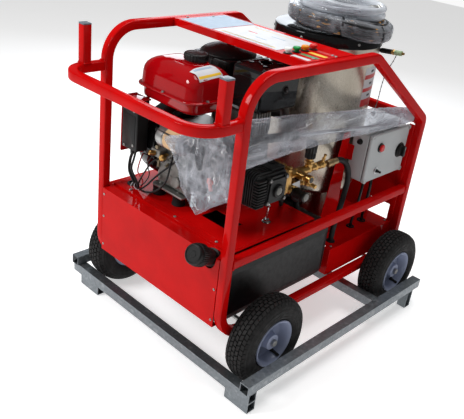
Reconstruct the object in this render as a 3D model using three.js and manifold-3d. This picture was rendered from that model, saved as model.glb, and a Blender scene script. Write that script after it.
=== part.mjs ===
// Hot-water pressure washer: engine, pump and boiler in a tube frame on four wheels,
// chocked in a galvanised transport skid. Millimetres, +Z up, the handle bar towards -Y
// and the pump side towards +X. The origin is on the floor under the middle of the part.
import * as THREE from "three";
import { RoundedBoxGeometry } from "three/addons/geometries/RoundedBoxGeometry.js";
import { mergeVertices } from "three/addons/utils/BufferGeometryUtils.js";
import Module from "manifold-3d";

const wasm = await Module();
wasm.setup();

// Driving dimensions
const GAP = 0.3;              // between pieces that touch
const TUBE = 32;              // square frame tube
const SKID = 38;              // square skid tube
const WALL = 3;               // tube wall
const FRAME_HALF = 338;       // outer faces of the side frames
const FRAME_IN = FRAME_HALF - TUBE;
const FRONT = -468;           // front face of the front posts
const REAR = 613;             // rear face of the rear posts
const RAIL_LOW = 171.5;       // underside of the side frames
const RAIL_MID = 493;         // top of the middle rails
const TOP = 1084;             // top of the side frames
const WHEEL_R = 163;
const AXLE_Y = [-286, 482];
const SKID_HALF = 498;
const BOILER = { x: 4, y: 319 };
const SHAFT = { y: -225, z: 655 };

// Materials
const paint = (color, roughness = 0.3, metalness = 0.1) => ({ color, roughness, metalness });
const RED = paint(0xc4161a);
const ZINC = paint(0x8d9499, 0.45, 0.85);
const BLACK = paint(0x18181a, 0.5, 0);
const RUBBER = paint(0x1c1c1d, 0.85, 0);
const STEEL = paint(0xa9a49a, 0.32, 0.95);
const BRASS = paint(0xb9924c, 0.3, 0.95);
const RIM = paint(0xa9b0c6, 0.45, 0.3);
const GREY = paint(0xc9cbcb, 0.55, 0);
const ALLOY = paint(0x8b8b88, 0.5, 0.8);

const part = new THREE.Group();
part.name = "pressure_washer";

function add(name, geometry, look, group = part) {
  geometry.deleteAttribute("uv");
  const material = new THREE.MeshStandardMaterial(look);
  const mesh = new THREE.Mesh(geometry, material);
  mesh.name = name;
  group.add(mesh);
  return mesh;
}

// ---- geometry helpers ----

// A plain box between two corners.
function box(low, high) {
  const size = high.map((v, i) => v - low[i]);
  const geometry = new THREE.BoxGeometry(...size);
  return geometry.translate(...low.map((v, i) => v + size[i] / 2));
}

// A box with every edge rounded.
function roundBox(low, high, radius, steps = 1) {
  const size = high.map((v, i) => v - low[i]);
  const geometry = new RoundedBoxGeometry(...size, steps, radius);
  return mergeClean(geometry).translate(...low.map((v, i) => v + size[i] / 2));
}

function mergeClean(geometry) {
  geometry.deleteAttribute("uv");
  geometry.deleteAttribute("normal");
  const merged = mergeVertices(geometry, 1e-4);
  merged.computeVertexNormals();
  return merged;
}

// Turns geometry made about +Z so that its axis points along the given axis.
function aim(geometry, axis) {
  const turn = new THREE.Quaternion().setFromUnitVectors(
    new THREE.Vector3(0, 0, 1), new THREE.Vector3(...axis).normalize());
  return geometry.applyQuaternion(turn);
}

// A body of revolution: [radius, height] points, from the axis to the axis or closed.
function turned(profile, at, axis = [0, 0, 1], segments = 32) {
  const points = profile.map(([r, h]) => new THREE.Vector2(r, h));
  const geometry = new THREE.LatheGeometry(points, segments).rotateX(Math.PI / 2);
  return aim(geometry, axis).translate(...at);
}

function disc(radius, height, at, axis = [0, 0, 1], segments = 24) {
  return turned([[0, 0], [radius, 0], [radius, height], [0, height]], at, axis, segments);
}

// A flat shape given in Y and Z, pulled along +X from x0 to x1.
function pulledX(shape, x0, x1, curveSegments = 5) {
  const geometry = new THREE.ExtrudeGeometry(shape, { depth: x1 - x0, bevelEnabled: false, curveSegments });
  const turn = new THREE.Matrix4().makeBasis(
    new THREE.Vector3(0, 1, 0), new THREE.Vector3(0, 0, 1), new THREE.Vector3(1, 0, 0));
  return geometry.applyMatrix4(turn).translate(x0, 0, 0);
}

// A polygon whose corners are rounded by the third number of each point.
function roundedPolygon(points, Kind = THREE.Shape) {
  const shape = new Kind();
  points.forEach(([x, y, r], i) => {
    const here = new THREE.Vector2(x, y);
    const before = new THREE.Vector2(...points.at(i - 1).slice(0, 2));
    const after = new THREE.Vector2(...points[(i + 1) % points.length].slice(0, 2));
    const toBefore = before.clone().sub(here).normalize();
    const toAfter = after.clone().sub(here).normalize();
    const half = Math.acos(toBefore.dot(toAfter)) / 2;
    const back = r / Math.tan(half);
    const start = here.clone().addScaledVector(toBefore, back);
    const middle = toBefore.clone().add(toAfter).normalize();
    const centre = here.clone().addScaledVector(middle, r / Math.sin(half));
    const end = here.clone().addScaledVector(toAfter, back);
    const a0 = Math.atan2(start.y - centre.y, start.x - centre.x);
    const a1 = Math.atan2(end.y - centre.y, end.x - centre.x);
    const clockwise = toBefore.x * toAfter.y - toBefore.y * toAfter.x > 0;
    if (i === 0) shape.moveTo(start.x, start.y);
    else shape.lineTo(start.x, start.y);
    shape.absarc(centre.x, centre.y, r, a0, a1, clockwise);
  });
  shape.closePath();
  return shape;
}

// A round bar or hose along points.
function rod(points, radius, steps, arcSteps) {
  const curve = new THREE.CatmullRomCurve3(points.map((p) => new THREE.Vector3(...p)), false, "centripetal");
  const circle = new THREE.Shape().absarc(0, 0, radius, 0, 2 * Math.PI);
  const settings = { steps, extrudePath: curve, curveSegments: arcSteps, bevelEnabled: false };
  return new THREE.ExtrudeGeometry(circle, settings);
}

// ---- solid arithmetic ----

function solid(geometry) {
  const plain = geometry.clone();
  plain.deleteAttribute("uv");
  plain.deleteAttribute("normal");
  const merged = mergeVertices(plain, 1e-4);
  const vertProperties = new Float32Array(merged.attributes.position.array);
  const triVerts = new Uint32Array(merged.index.array);
  return new wasm.Manifold(new wasm.Mesh({ numProp: 3, vertProperties, triVerts }));
}

function toGeometry(manifold) {
  const mesh = manifold.getMesh();
  const geometry = new THREE.BufferGeometry();
  geometry.setAttribute("position", new THREE.BufferAttribute(new Float32Array(mesh.vertProperties), 3));
  geometry.setIndex(new THREE.BufferAttribute(new Uint32Array(mesh.triVerts), 1));
  const flat = geometry.toNonIndexed();
  flat.computeVertexNormals();
  return flat;
}

const join = (first, ...others) => toGeometry(others.reduce((sum, g) => sum.add(solid(g)), solid(first)));
const cut = (first, ...others) => toGeometry(others.reduce((sum, g) => sum.subtract(solid(g)), solid(first)));

// ---- transport skid ----

function squareTube(low, high, along) {
  const inner = [low.map((v, i) => (i === along ? v - 1 : v + WALL)), high.map((v, i) => (i === along ? v + 1 : v - WALL))];
  return cut(box(low, high), box(...inner));
}

const skid = new THREE.Group();
skid.name = "transport_skid";
part.add(skid);
const RAIL_Y = [-471, 598];
for (const [side, sign] of [["left", -1], ["right", 1]]) {
  const xs = [sign * SKID_HALF, sign * (SKID_HALF - SKID)].sort((a, b) => a - b);
  const rail = squareTube([xs[0], RAIL_Y[0], 2 * SKID + GAP], [xs[1], RAIL_Y[1], 3 * SKID + GAP], 1);
  const foot = squareTube([xs[0], 515, 0], [xs[1], 553, 2 * SKID + 1], 0);
  add(`skid_rail_${side}`, join(rail, foot), ZINC, skid);
}
const BAR_Y = { front: -463, middle: 288 };
const frontBar = squareTube([-SKID_HALF, BAR_Y.front, SKID], [SKID_HALF, BAR_Y.front + SKID, 2 * SKID], 0);
const frontFeet = [[-446, -332], [392, SKID_HALF]].map(([x0, x1]) =>
  squareTube([x0, BAR_Y.front, 0], [x1, BAR_Y.front + SKID, SKID + 1], 0));
add("skid_crossbar_front", join(frontBar, ...frontFeet), ZINC, skid);
const BAR_X = SKID_HALF - SKID - GAP;
add("skid_crossbar_middle", squareTube(
  [-BAR_X, BAR_Y.middle, 2 * SKID + GAP], [BAR_X, BAR_Y.middle + SKID, 3 * SKID + GAP], 0), ZINC, skid);

// ---- side frames: one bent tube loop each, with its middle rail ----

const frame = new THREE.Group();
frame.name = "frame";
part.add(frame);
const loopOutside = [
  [FRONT, RAIL_LOW, 125], [REAR, RAIL_LOW, 60], [REAR, 790, 55], [167, TOP, 55], [FRONT, TOP, 125],
];
const insideLow = RAIL_LOW + TUBE;
const loopInside = [
  [FRONT + TUBE, insideLow, 93], [REAR - TUBE, insideLow, 28], [REAR - TUBE, 772.8, 25],
  [157.4, TOP - TUBE, 25], [FRONT + TUBE, TOP - TUBE, 93],
];
for (const [side, x0] of [["left", -FRAME_HALF], ["right", FRAME_IN]]) {
  const shape = roundedPolygon(loopOutside);
  shape.holes.push(roundedPolygon(loopInside, THREE.Path));
  const loop = pulledX(shape, x0, x0 + TUBE);
  const rail = box([x0, FRONT + TUBE - 1, RAIL_MID - TUBE], [x0 + TUBE, REAR - TUBE + 1, RAIL_MID]);
  add(`side_frame_${side}`, join(loop, rail), RED, frame);
}
const CROSS_X = FRAME_IN - GAP;
for (const [name, z] of [["upper", 757], ["lower", 386]]) {
  const bar = box([-CROSS_X, REAR - TUBE, z], [CROSS_X, REAR, z + TUBE]);
  add(`rear_cross_tube_${name}`, bar, RED, frame);
}

// Handle: a flat U of square tube with two capped uprights on its arms.
const HANDLE = { z: 926, front: -639, back: FRONT - GAP, radius: 100 };
const handleOutside = roundedPolygon([
  [-FRAME_HALF, HANDLE.front, HANDLE.radius], [FRAME_HALF, HANDLE.front, HANDLE.radius],
  [FRAME_HALF, HANDLE.back, 0.5], [FRAME_IN, HANDLE.back, 0.5],
  [FRAME_IN, HANDLE.front + TUBE, HANDLE.radius - TUBE],
  [-FRAME_IN, HANDLE.front + TUBE, HANDLE.radius - TUBE],
  [-FRAME_IN, HANDLE.back, 0.5], [-FRAME_HALF, HANDLE.back, 0.5],
]);
const handleBar = new THREE.ExtrudeGeometry(handleOutside, { depth: TUBE, bevelEnabled: false, curveSegments: 6 });
handleBar.translate(0, 0, HANDLE.z);
const UPRIGHT = { y: -556, top: 1082 };
const uprights = [-FRAME_HALF, FRAME_IN].map((x) =>
  box([x, UPRIGHT.y, HANDLE.z + 1], [x + TUBE, UPRIGHT.y + TUBE, UPRIGHT.top]));
add("handle_bar", join(handleBar, ...uprights), RED, frame);
for (const [side, x] of [["left", -FRAME_HALF], ["right", FRAME_IN]]) {
  const low = [x, UPRIGHT.y, UPRIGHT.top + GAP];
  const high = [x + TUBE, UPRIGHT.y + TUBE, UPRIGHT.top + GAP + 5];
  add(`upright_cap_${side}`, roundBox(low, high, 2), paint(0x53626a, 0.6, 0), frame);
}

// ---- sheet metal ----

const body = new THREE.Group();
body.name = "sheet_metal";
part.add(body);
const SHEET_X = FRAME_IN - GAP;
const FLANGE_BACK = -419;
const NECK = { elbow: [256.7, -458, 478.5], axis: [0, -0.902, 0.432], radius: 24 };
const neckHole = disc(33, 160, NECK.elbow.map((v, i) => v + [0, 70, -70][i]), [0, -1, 1], 24);
const panel = join(
  box([-SHEET_X, FRONT, 236], [SHEET_X, FRONT + 2.5, RAIL_MID]),
  box([-SHEET_X, FRONT + 1, RAIL_MID - 2.5], [SHEET_X, FLANGE_BACK, RAIL_MID]),
  box([-SHEET_X, FLANGE_BACK - 2.5, RAIL_MID - 22], [SHEET_X, FLANGE_BACK, RAIL_MID - 1]),
  box([-SHEET_X, FRONT + 1, 236], [SHEET_X, FRONT + 25, 238.5]));
add("front_panel", cut(panel, neckHole), RED, body);

const DECK = { front: FLANGE_BACK + GAP, back: 5, top: 500 };
const deckPlate = join(
  box([-SHEET_X, DECK.front, DECK.top - 3], [SHEET_X, DECK.back, DECK.top]),
  box([-SHEET_X, DECK.front, DECK.top - 30], [SHEET_X, DECK.front + 3, DECK.top - 1]),
  box([-SHEET_X, DECK.back - 3, DECK.top - 30], [SHEET_X, DECK.back, DECK.top - 1]));
const deckSlot = box([62, -320, DECK.top - 10], [190, -245, DECK.top + 10]);
const cableHole = disc(16, 20, [-262, -366, DECK.top - 10], [0, 0, 1], 20);
add("engine_deck", cut(deckPlate, deckSlot, cableHole, neckHole), RED, body);

const SHELF = { front: 151, back: REAR - TUBE - GAP, bottom: insideLow + GAP, top: 318, half: SHEET_X };
const shelfOuter = box([-SHELF.half, SHELF.front, SHELF.bottom], [SHELF.half, SHELF.back, SHELF.top]);
const shelfInner = box([-SHELF.half + 3, SHELF.front + 3, SHELF.bottom - 5], [SHELF.half - 3, SHELF.back - 3, SHELF.top - 3]);
const shelfNotch = box([250, SHELF.front - 1, SHELF.top - 20], [SHELF.half - 30, SHELF.front + 16, SHELF.top + 1]);
add("boiler_shelf", cut(shelfOuter, shelfInner, shelfNotch), RED, body);

// Rear sheet on the shelf, open below the control box, with its top edge folded forward.
const BACK = { y: SHELF.back - 2.5, foot: SHELF.top + GAP, opening: 387, top: 640, cut: 190 };
add("rear_panel", join(
  box([-SHEET_X, BACK.y, BACK.opening], [SHEET_X, SHELF.back, BACK.top]),
  box([-SHEET_X, BACK.y, BACK.foot], [BACK.cut, SHELF.back, BACK.opening + 1]),
  box([-SHEET_X, BACK.y - 5, BACK.top - 2.5], [SHEET_X, SHELF.back - 1, BACK.top])), RED, body);

// Folded plate that carries the control box, wide at its foot and narrow at its top.
const gussetShape = new THREE.Shape([[172, SHELF.top + GAP], [292, SHELF.top + GAP], [280, 748], [238, 748]]
  .map(([y, z]) => new THREE.Vector2(y, z)));
const gusset = join(
  pulledX(gussetShape, 210, 213),
  box([211, 277, 640], [240, 280, 700]));
add("control_bracket", gusset, RED, body);

// Instrument tray across the two top rails.
const TRAY = { front: -181, back: 58 };
const tray = join(
  box([-SHEET_X, TRAY.front, TOP - 2.5], [SHEET_X, TRAY.back, TOP]),
  box([-SHEET_X, TRAY.front, TOP - 26], [SHEET_X, TRAY.front + 2.5, TOP - 1]),
  box([-SHEET_X, TRAY.back - 2.5, TOP - 26], [SHEET_X, TRAY.back, TOP - 1]));
const NOZZLES = [["white", -160, 0xd8d6cc], ["green", -118, 0x14803a], ["yellow", -76, 0xe08a14], ["red", -34, 0xc42222]];
const NOZZLE_X = 206;
const nozzleHoles = NOZZLES.map(([, y]) => disc(6.5, 20, [NOZZLE_X, y, TOP - 10], [0, 0, 1], 16));
add("instrument_tray", cut(tray, ...nozzleHoles), RED, body);

// ---- quick-connect spray nozzles standing in the tray ----
for (const [colour, y, hex] of NOZZLES) {
  const profile = [
    [0, -14], [3.5, -14], [6, -10], [6, 0.5], [7.5, 0.5], [7.5, 8], [10.4, 10], [10.4, 15], [8, 18], [0, 18],
  ];
  add(`nozzle_${colour}`, turned(profile, [NOZZLE_X, y, TOP], [0, 0, 1], 12), paint(hex, 0.45, 0));
}

// ---- water tank under the deck, with its angled filler ----
const tankBody = roundBox([-302, -440, 206], [302, 148, 452], 45, 2);
const alongNeck = (distance) => NECK.elbow.map((v, i) => v + NECK.axis[i] * distance);
const lowerNeck = disc(NECK.radius, 85, NECK.elbow.map((v, i) => v + [0, 60, -60][i]), [0, -1, 1], 20);
const upperNeck = disc(NECK.radius, 60, alongNeck(-12), NECK.axis, 20);
add("water_tank", join(tankBody, lowerNeck, upperNeck), BLACK);
const neckTop = alongNeck(48 + GAP);
const capProfile = [[0, 0], [36, 0], [37.5, 2], [37.5, 28], [35, 31], [35, 41], [33, 43], [0, 43]];
add("filler_cap", turned(capProfile, neckTop, NECK.axis, 24), BLACK);

// ---- boiler ----
const DRUM = { r: 200.5, foot: 150, low: SHELF.top + GAP, top: 1082 };
const drumProfile = [
  [0, DRUM.low], [DRUM.foot, DRUM.low], [DRUM.foot, 470], [DRUM.r - 6, 490], [DRUM.r, 500],
  [DRUM.r, DRUM.top], [0, DRUM.top],
];
add("boiler_drum", turned(drumProfile, [BOILER.x, BOILER.y, 0], [0, 0, 1], 32), STEEL);
const LID = { r: 204, low: 1052, top: 1092 };
const lidProfile = [
  [0, DRUM.top + GAP], [LID.r - 3.5, DRUM.top + GAP], [LID.r - 3.5, LID.low], [LID.r, LID.low],
  [LID.r, LID.top - 4], [LID.r - 4, LID.top], [0, LID.top],
];
add("boiler_lid", turned(lidProfile, [BOILER.x, BOILER.y, 0], [0, 0, 1], 32), BLACK);

// ---- engine: crankshaft along X, starter recoil at -X, drive at +X ----
const engine = new THREE.Group();
engine.name = "engine";
part.add(engine);
const MOUNT_TOP = 540;
const rubberMounts = [[-152, -332], [-45, -332], [-152, -140], [-45, -140]].map(([x, y]) =>
  disc(24, MOUNT_TOP - DECK.top, [x, y, DECK.top + GAP], [0, 0, 1], 16));
const baseRails = join(
  box([-158, -362, MOUNT_TOP], [0, -306, MOUNT_TOP + 8]),
  box([-158, -168, MOUNT_TOP], [0, -112, MOUNT_TOP + 8]),
  box([-130, -310, MOUNT_TOP], [-70, -164, MOUNT_TOP + 8]),
  ...rubberMounts);
add("engine_base", baseRails, ALLOY, engine);
const fins = [];
for (let i = 0; i < 6; i += 1) {
  fins.push(box([-140, -60 + i * 14, 690], [30, -53 + i * 14, 845]));
}
add("engine_block", join(
  roundBox([-160, -345, MOUNT_TOP + 8 + GAP], [40, -120, 770], 16),
  disc(62, 60, [38, SHAFT.y, SHAFT.z], [1, 0, 0], 24),
  roundBox([-128, -130, 700], [18, 30, 832], 8, 1),
  ...fins), ALLOY, engine);
const HOUSING_R = 138;
const housingProfile = [
  [0, 0], [HOUSING_R - 8, 0], [HOUSING_R, 8], [HOUSING_R, 90], [100, 112], [96, 128], [40, 134], [0, 134],
];
add("fan_housing", turned(housingProfile, [-160 - GAP, SHAFT.y, 672], [-1, 0, 0], 24), BLACK, engine);

const TANK = { low: [-274, -363, 842], high: [16, -163, 985] };
const LIP = 9;
const lipOutline = roundedPolygon([
  [TANK.low[0] - LIP, TANK.low[1] - LIP, 55], [TANK.high[0] + LIP, TANK.low[1] - LIP, 55],
  [TANK.high[0] + LIP, TANK.high[1] + LIP, 55], [TANK.low[0] - LIP, TANK.high[1] + LIP, 55],
]);
const tankLip = new THREE.ExtrudeGeometry(lipOutline, { depth: 6, bevelEnabled: false, curveSegments: 6 });
tankLip.translate(0, 0, 884);
const fuelShell = join(
  roundBox([TANK.low[0], TANK.low[1], 862], TANK.high, 46, 3),
  roundBox([TANK.low[0] + 8, TANK.low[1] + 8, TANK.low[2]], [TANK.high[0] - 8, TANK.high[1] - 8, 950], 38, 2),
  tankLip,
  disc(30, 12, [-105, -250, 980], [0, 0, 1], 24));
add("fuel_tank", fuelShell, RED, engine);
const fuelCap = [[0, 0], [38, 0], [42, 4], [42, 22], [38, 27], [0, 27]];
add("fuel_cap", turned(fuelCap, [-105, -250, 992 + GAP], [0, 0, 1], 24), BLACK, engine);

const cleaner = join(
  roundBox([-242, -148, 905], [-50, 42, 988], 24),
  turned([[0, 0], [100, 0], [99, 8], [82, 20], [48, 30], [0, 35]], [-148, -52, 985], [0, 0, 1], 28),
  disc(5, 14, [-148, -52, 1018], [0, 0, 1], 12),
  roundBox([-166, -55, 1024], [-130, -49, 1036], 2.5, 1));
add("air_cleaner", cleaner, BLACK, engine);
const mufflerBox = cut(
  roundBox([29, -212, 876], [168, -24, 1016], 10),
  disc(20, 40, [84, -112, 1000], [0, 0, 1], 20));
add("muffler_guard", mufflerBox, BLACK, engine);
add("starter_motor", join(
  disc(36, 132, [-79, -408, 770], [1, 0, 0], 24),
  roundBox([-67, -392, 740], [-15, -346, 795], 6, 1)), paint(0xb79a62, 0.4, 0.8), engine);
add("switch_box", join(
  roundBox([-277, -419, 656], [-188, -366, 838], 5, 1),
  box([-277.2, -418, 640], [-272, -360, 838])), BLACK, engine);
const throttle = join(
  disc(10, 5, [12, -350.6, 704], [0, 1, 0], 14),
  box([8, -350.6, 704], [16, -347, 738]));
add("throttle_lever", throttle, paint(0x222222, 0.5, 0.2), engine);
add("ignition_key", join(
  disc(9, 14, [-277.2 - GAP, -392, 742], [-1, 0, 0], 16),
  box([-308, -394, 732], [-288, -390, 752])), paint(0xc8c8c8, 0.25, 0.95), engine);

// ---- pump ----
const pump = new THREE.Group();
pump.name = "pump";
part.add(pump);
const PUMP = { x0: 180, x1: 284, y0: -305, y1: -150, z0: 606, z1: 722 };
const pumpRibs = [];
for (let i = 0; i < 7; i += 1) {
  const y = PUMP.y0 + 2 + i * 11;
  pumpRibs.push(box([PUMP.x0 - 6, y, PUMP.z0 - 6], [PUMP.x1 - 22, y + 5, PUMP.z1 + 6]));
}
add("pump_crankcase", join(
  roundBox([PUMP.x0, PUMP.y0, PUMP.z0], [PUMP.x1, PUMP.y1, PUMP.z1], 14),
  ...pumpRibs,
  disc(58, 82, [98 + GAP, SHAFT.y, SHAFT.z], [1, 0, 0], 24),
  disc(21, 10, [PUMP.x1 - 3, -203, 655], [1, 0, 0], 20)), BLACK, pump);
const MANIFOLD_Y = PUMP.y1 + GAP;
add("pump_manifold", join(
  roundBox([188, MANIFOLD_Y, 596], [272, MANIFOLD_Y + 46, 708], 6, 1),
  disc(15, 60, [252, MANIFOLD_Y + 88, 668], [1, 0, 0], 10),
  disc(16, 120, [240, MANIFOLD_Y + 30, 668], [0, 1, 0], 10),
  disc(15, 40, [238, 9, 668], [0, 0, 1], 10),
  disc(13, 66, [243, 12, 670], [0, 1, 0], 8),
  disc(14, 108, [236, MANIFOLD_Y + 30, 622], [0, 1, 0], 10),
  disc(8, 30, [236, MANIFOLD_Y + 134, 622], [0, 1, 0], 8),
  disc(16, 34, [246, 72, 668], [0, 1, 0], 10),
  disc(12, 62, [248, 102, 667], [0, 1, 0], 10),
  disc(19, 62, [240, -62, 598], [1, 0, 0], 20)), BRASS, pump);
const KNOB = { at: [238, 9, 708 + GAP], r: 18.5, height: 64 };
const knobRibs = [];
for (let i = 0; i < 12; i += 1) {
  const angle = (i / 12) * 2 * Math.PI;
  const at = [KNOB.at[0] + KNOB.r * Math.cos(angle), KNOB.at[1] + KNOB.r * Math.sin(angle), KNOB.at[2] + 8];
  knobRibs.push(disc(2.4, KNOB.height - 16, at, [0, 0, 1], 6));
}
add("unloader_knob", join(disc(KNOB.r, KNOB.height, KNOB.at, [0, 0, 1], 24), ...knobRibs), BLACK, pump);
const hosePath = [
  [248, 164.5, 667], [248, 174, 667], [250, 192, 664], [256, 216, 648], [262, 235, 612], [265, 240, 560],
  [264, 228, 470], [262, 216, 400], [262, 211, 350], [262, 211, SHELF.top + 1],
];
add("outlet_hose", rod(hosePath, 11, 26, 3), RUBBER, pump);

// ---- control box ----
const controls = new THREE.Group();
controls.name = "control_box_parts";
part.add(controls);
const BOX = { y0: 298, y1: 564, z0: 560, z1: 751 };
add("control_box", roundBox([213 + GAP, BOX.y0, BOX.z0], [285, BOX.y1, BOX.z1], 6, 1), GREY, controls);
const FACE = 300;
const BUTTON = [366, 695];
const TOGGLE = [367, 600];
const coverPlate = join(
  roundBox([285 + GAP, BOX.y0 - 1, BOX.z0 - 1], [FACE, BOX.y1 + 1, BOX.z1 + 1], 6, 1),
  disc(16.5, 5, [FACE - 1, ...BUTTON], [1, 0, 0], 20),
  disc(10, 6, [FACE - 1, ...TOGGLE], [1, 0, 0], 6));
const bores = [disc(12.8, 30, [FACE - 12, ...BUTTON], [1, 0, 0], 20), disc(5, 30, [FACE - 8, ...TOGGLE], [1, 0, 0], 12)];
add("control_cover", cut(coverPlate, ...bores), GREY, controls);
add("stop_button", disc(12.2, 12, [FACE - 3, ...BUTTON], [1, 0, 0], 20), paint(0xd0201f, 0.35, 0), controls);
add("selector_knob", join(
  disc(26, 14, [FACE + GAP, 518, 655], [1, 0, 0], 24),
  roundBox([FACE + 10, 512, 633], [FACE + 26, 524, 677], 3, 1)), BLACK, controls);
const lever = turned([[0, 0], [2.4, 0], [2.4, 8], [4, 24], [2.5, 27], [0, 27]], [FACE - 6, ...TOGGLE], [1, 0, 0], 12);
add("toggle_switch", lever, BLACK, controls);

// ---- wheels: rim and tyre turn together on a fixed axle rod ----
const TYRE = { inner: 341, outer: 442 };
const tyreWidth = TYRE.outer - TYRE.inner;
const tyreProfile = [
  [80, 10], [91, 9.5], [104, 2], [135, 0], [156, 8], [WHEEL_R, 30], [WHEEL_R, tyreWidth - 30],
  [156, tyreWidth - 8], [135, tyreWidth], [104, tyreWidth - 2], [91, tyreWidth - 9.5], [80, tyreWidth - 10], [80, 10],
];
const rimProfile = [
  [9, 22], [20, 22], [20, 46], [74, 46], [74, 6], [89, 4], [89, 8], [79.5, 9], [79.5, tyreWidth - 9],
  [89, tyreWidth - 8], [89, tyreWidth - 4], [76, tyreWidth - 4], [73, 58], [20, 60], [20, tyreWidth - 16],
  [9, tyreWidth - 16], [9, 22],
];
for (const [end, y] of [["front", AXLE_Y[0]], ["rear", AXLE_Y[1]]]) {
  for (const [side, sign] of [["left", -1], ["right", 1]]) {
    const at = [sign * TYRE.inner, y, WHEEL_R];
    add(`tyre_${end}_${side}`, turned(tyreProfile, at, [sign, 0, 0], 20), RUBBER);
    add(`rim_${end}_${side}`, turned(rimProfile, at, [sign, 0, 0], 20), RIM);
  }
  const shaft = disc(8, 866, [-433, y, WHEEL_R], [1, 0, 0], 16);
  const nuts = [-437, 427].map((x) => disc(13, 10, [x, y, WHEEL_R], [1, 0, 0], 6));
  add(`axle_${end}`, join(shaft, ...nuts), ZINC);
}

// ---- lance and trigger gun, lying along the pump side in a clear bag ----
const LANCE = { start: [283, -402, 868], along: [0, 0.9931, -0.1172] };
const gunShape = new THREE.Shape([[288, 842], [288, 896], [130, 880], [104, 858], [78, 700], [92, 630], [122, 634], [142, 700],
  [154, 800], [196, 838]].map(([x, z]) => new THREE.Vector2(x, z)));
const gunBody = new THREE.ExtrudeGeometry(gunShape, { depth: 30, bevelEnabled: false });
gunBody.rotateX(Math.PI / 2).translate(0, -396, 0);
add("spray_gun", join(
  gunBody,
  disc(14, 260, LANCE.start, LANCE.along, 16),
  disc(7, 900, LANCE.start, LANCE.along, 12),
  disc(11, 44, [108, -411, 636], [0, 0, -1], 12)), BLACK);
const triggerShape = new THREE.Shape([[200, 822], [190, 824], [162, 790], [160, 742], [168, 744], [172, 784]]
  .map(([x, z]) => new THREE.Vector2(x, z)));
const trigger = new THREE.ExtrudeGeometry(triggerShape, { depth: 16, bevelEnabled: false });
add("gun_trigger", trigger.rotateX(Math.PI / 2).translate(0, -403, 0), paint(0xd8452c, 0.5, 0));

// The bag hangs over the outer side of the lance and folds across the engine's front corner.
const bagOutline = new THREE.Shape([[0, 778], [148, 560], [292, 668], [292, 936], [120, 862]]
  .map(([x, z]) => new THREE.Vector2(x, z)));
const bagFront = new THREE.ExtrudeGeometry(bagOutline, { depth: 2.5, bevelEnabled: false });
bagFront.rotateX(Math.PI / 2).translate(0, -447, 0);
const bagSideShape = new THREE.Shape([[-449.5, 690], [-449.5, 936], [-160, 912], [240, 872], [540, 844], [560, 790], [240, 772],
  [-140, 784], [-330, 776]].map(([y, z]) => new THREE.Vector2(y, z)));
const bagSide = pulledX(bagSideShape, 298, 300.5);
add("lance_bag", join(bagFront, bagSide, box([290, -449.5, 692], [300.5, -447, 934])), paint(0xe3e6ea, 0.25, 0));

// ---- hoses coiled on the lid ----
const coil = (radius, count, rows, hose, at) => {
  const height = rows * hose;
  const low = radius - (count * hose) / 2;
  const high = radius + (count * hose) / 2;
  const profile = [[low, 6], [low + 6, 0], [high - 6, 0], [high, 6], [high, height - 6], [high - 6, height], [low + 6, height],
    [low, height - 6], [low, 6]];
  return turned(profile, at, [0, 0, 1], 24);
};
add("pressure_hose_coil", coil(152.5, 5, 3, 17, [33, 339, LID.top + 1]), RUBBER);
add("supply_hose_coil", coil(136, 2, 2, 24, [40, 345, LID.top + 53]), paint(0xdfe3e6, 0.2, 0));
export default part;
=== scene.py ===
"""The look of a petrol-driven hot-water pressure washer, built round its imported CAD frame.

Sizes in this file are millimetres until a piece is finished, when its mesh becomes metres.
The axes are the frame's: X to the machine's right, Y to its rear, Z up, with the ground at Z = 0.
"""

import math
import random

import bmesh
import bpy
from mathutils import Matrix, Vector, noise


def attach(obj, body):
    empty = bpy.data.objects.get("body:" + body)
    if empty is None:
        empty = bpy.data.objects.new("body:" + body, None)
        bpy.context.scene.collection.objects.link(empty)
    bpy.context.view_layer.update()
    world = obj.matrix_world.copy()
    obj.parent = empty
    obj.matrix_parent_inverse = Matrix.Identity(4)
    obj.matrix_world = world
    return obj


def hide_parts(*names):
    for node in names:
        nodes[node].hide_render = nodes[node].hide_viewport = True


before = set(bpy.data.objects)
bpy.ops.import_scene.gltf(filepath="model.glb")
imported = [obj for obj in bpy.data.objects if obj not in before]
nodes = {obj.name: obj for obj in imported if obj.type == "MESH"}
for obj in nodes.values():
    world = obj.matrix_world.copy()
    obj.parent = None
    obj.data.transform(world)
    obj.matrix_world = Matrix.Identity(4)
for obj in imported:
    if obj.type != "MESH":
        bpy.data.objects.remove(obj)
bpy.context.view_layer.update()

MM = 0.001
X, Y, Z = Vector((1, 0, 0)), Vector((0, 1, 0)), Vector((0, 0, 1))


# ---- shapes ----

def basis(axis):
    """Unit vectors u, v and w with w along the axis and the other two square to it."""
    w = Vector(axis).normalized()
    u = (X if abs(w.x) < 0.8 else Y).cross(w).normalized()
    return u, w.cross(u), w


def skin(bm, rings, mat=0, closed=False, caps=True):
    """Joins rings of points with faces. A ring of one point is a tip."""
    made = [[bm.verts.new(p) for p in ring] for ring in rings]
    pairs = list(zip(made, made[1:])) + ([(made[-1], made[0])] if closed else [])
    faces = []
    for a, b in pairs:
        count = max(len(a), len(b))
        for i in range(count):
            j = (i + 1) % count
            corners = (a[i % len(a)], a[j % len(a)], b[j % len(b)], b[i % len(b)])
            faces.append(list(dict.fromkeys(corners)))
    if caps and not closed:
        faces += [ring for ring in (made[0], made[-1]) if len(ring) > 2]
    for corners in faces:
        face = bm.faces.new(corners)
        face.material_index = mat
        face.smooth = True
    return made


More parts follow.
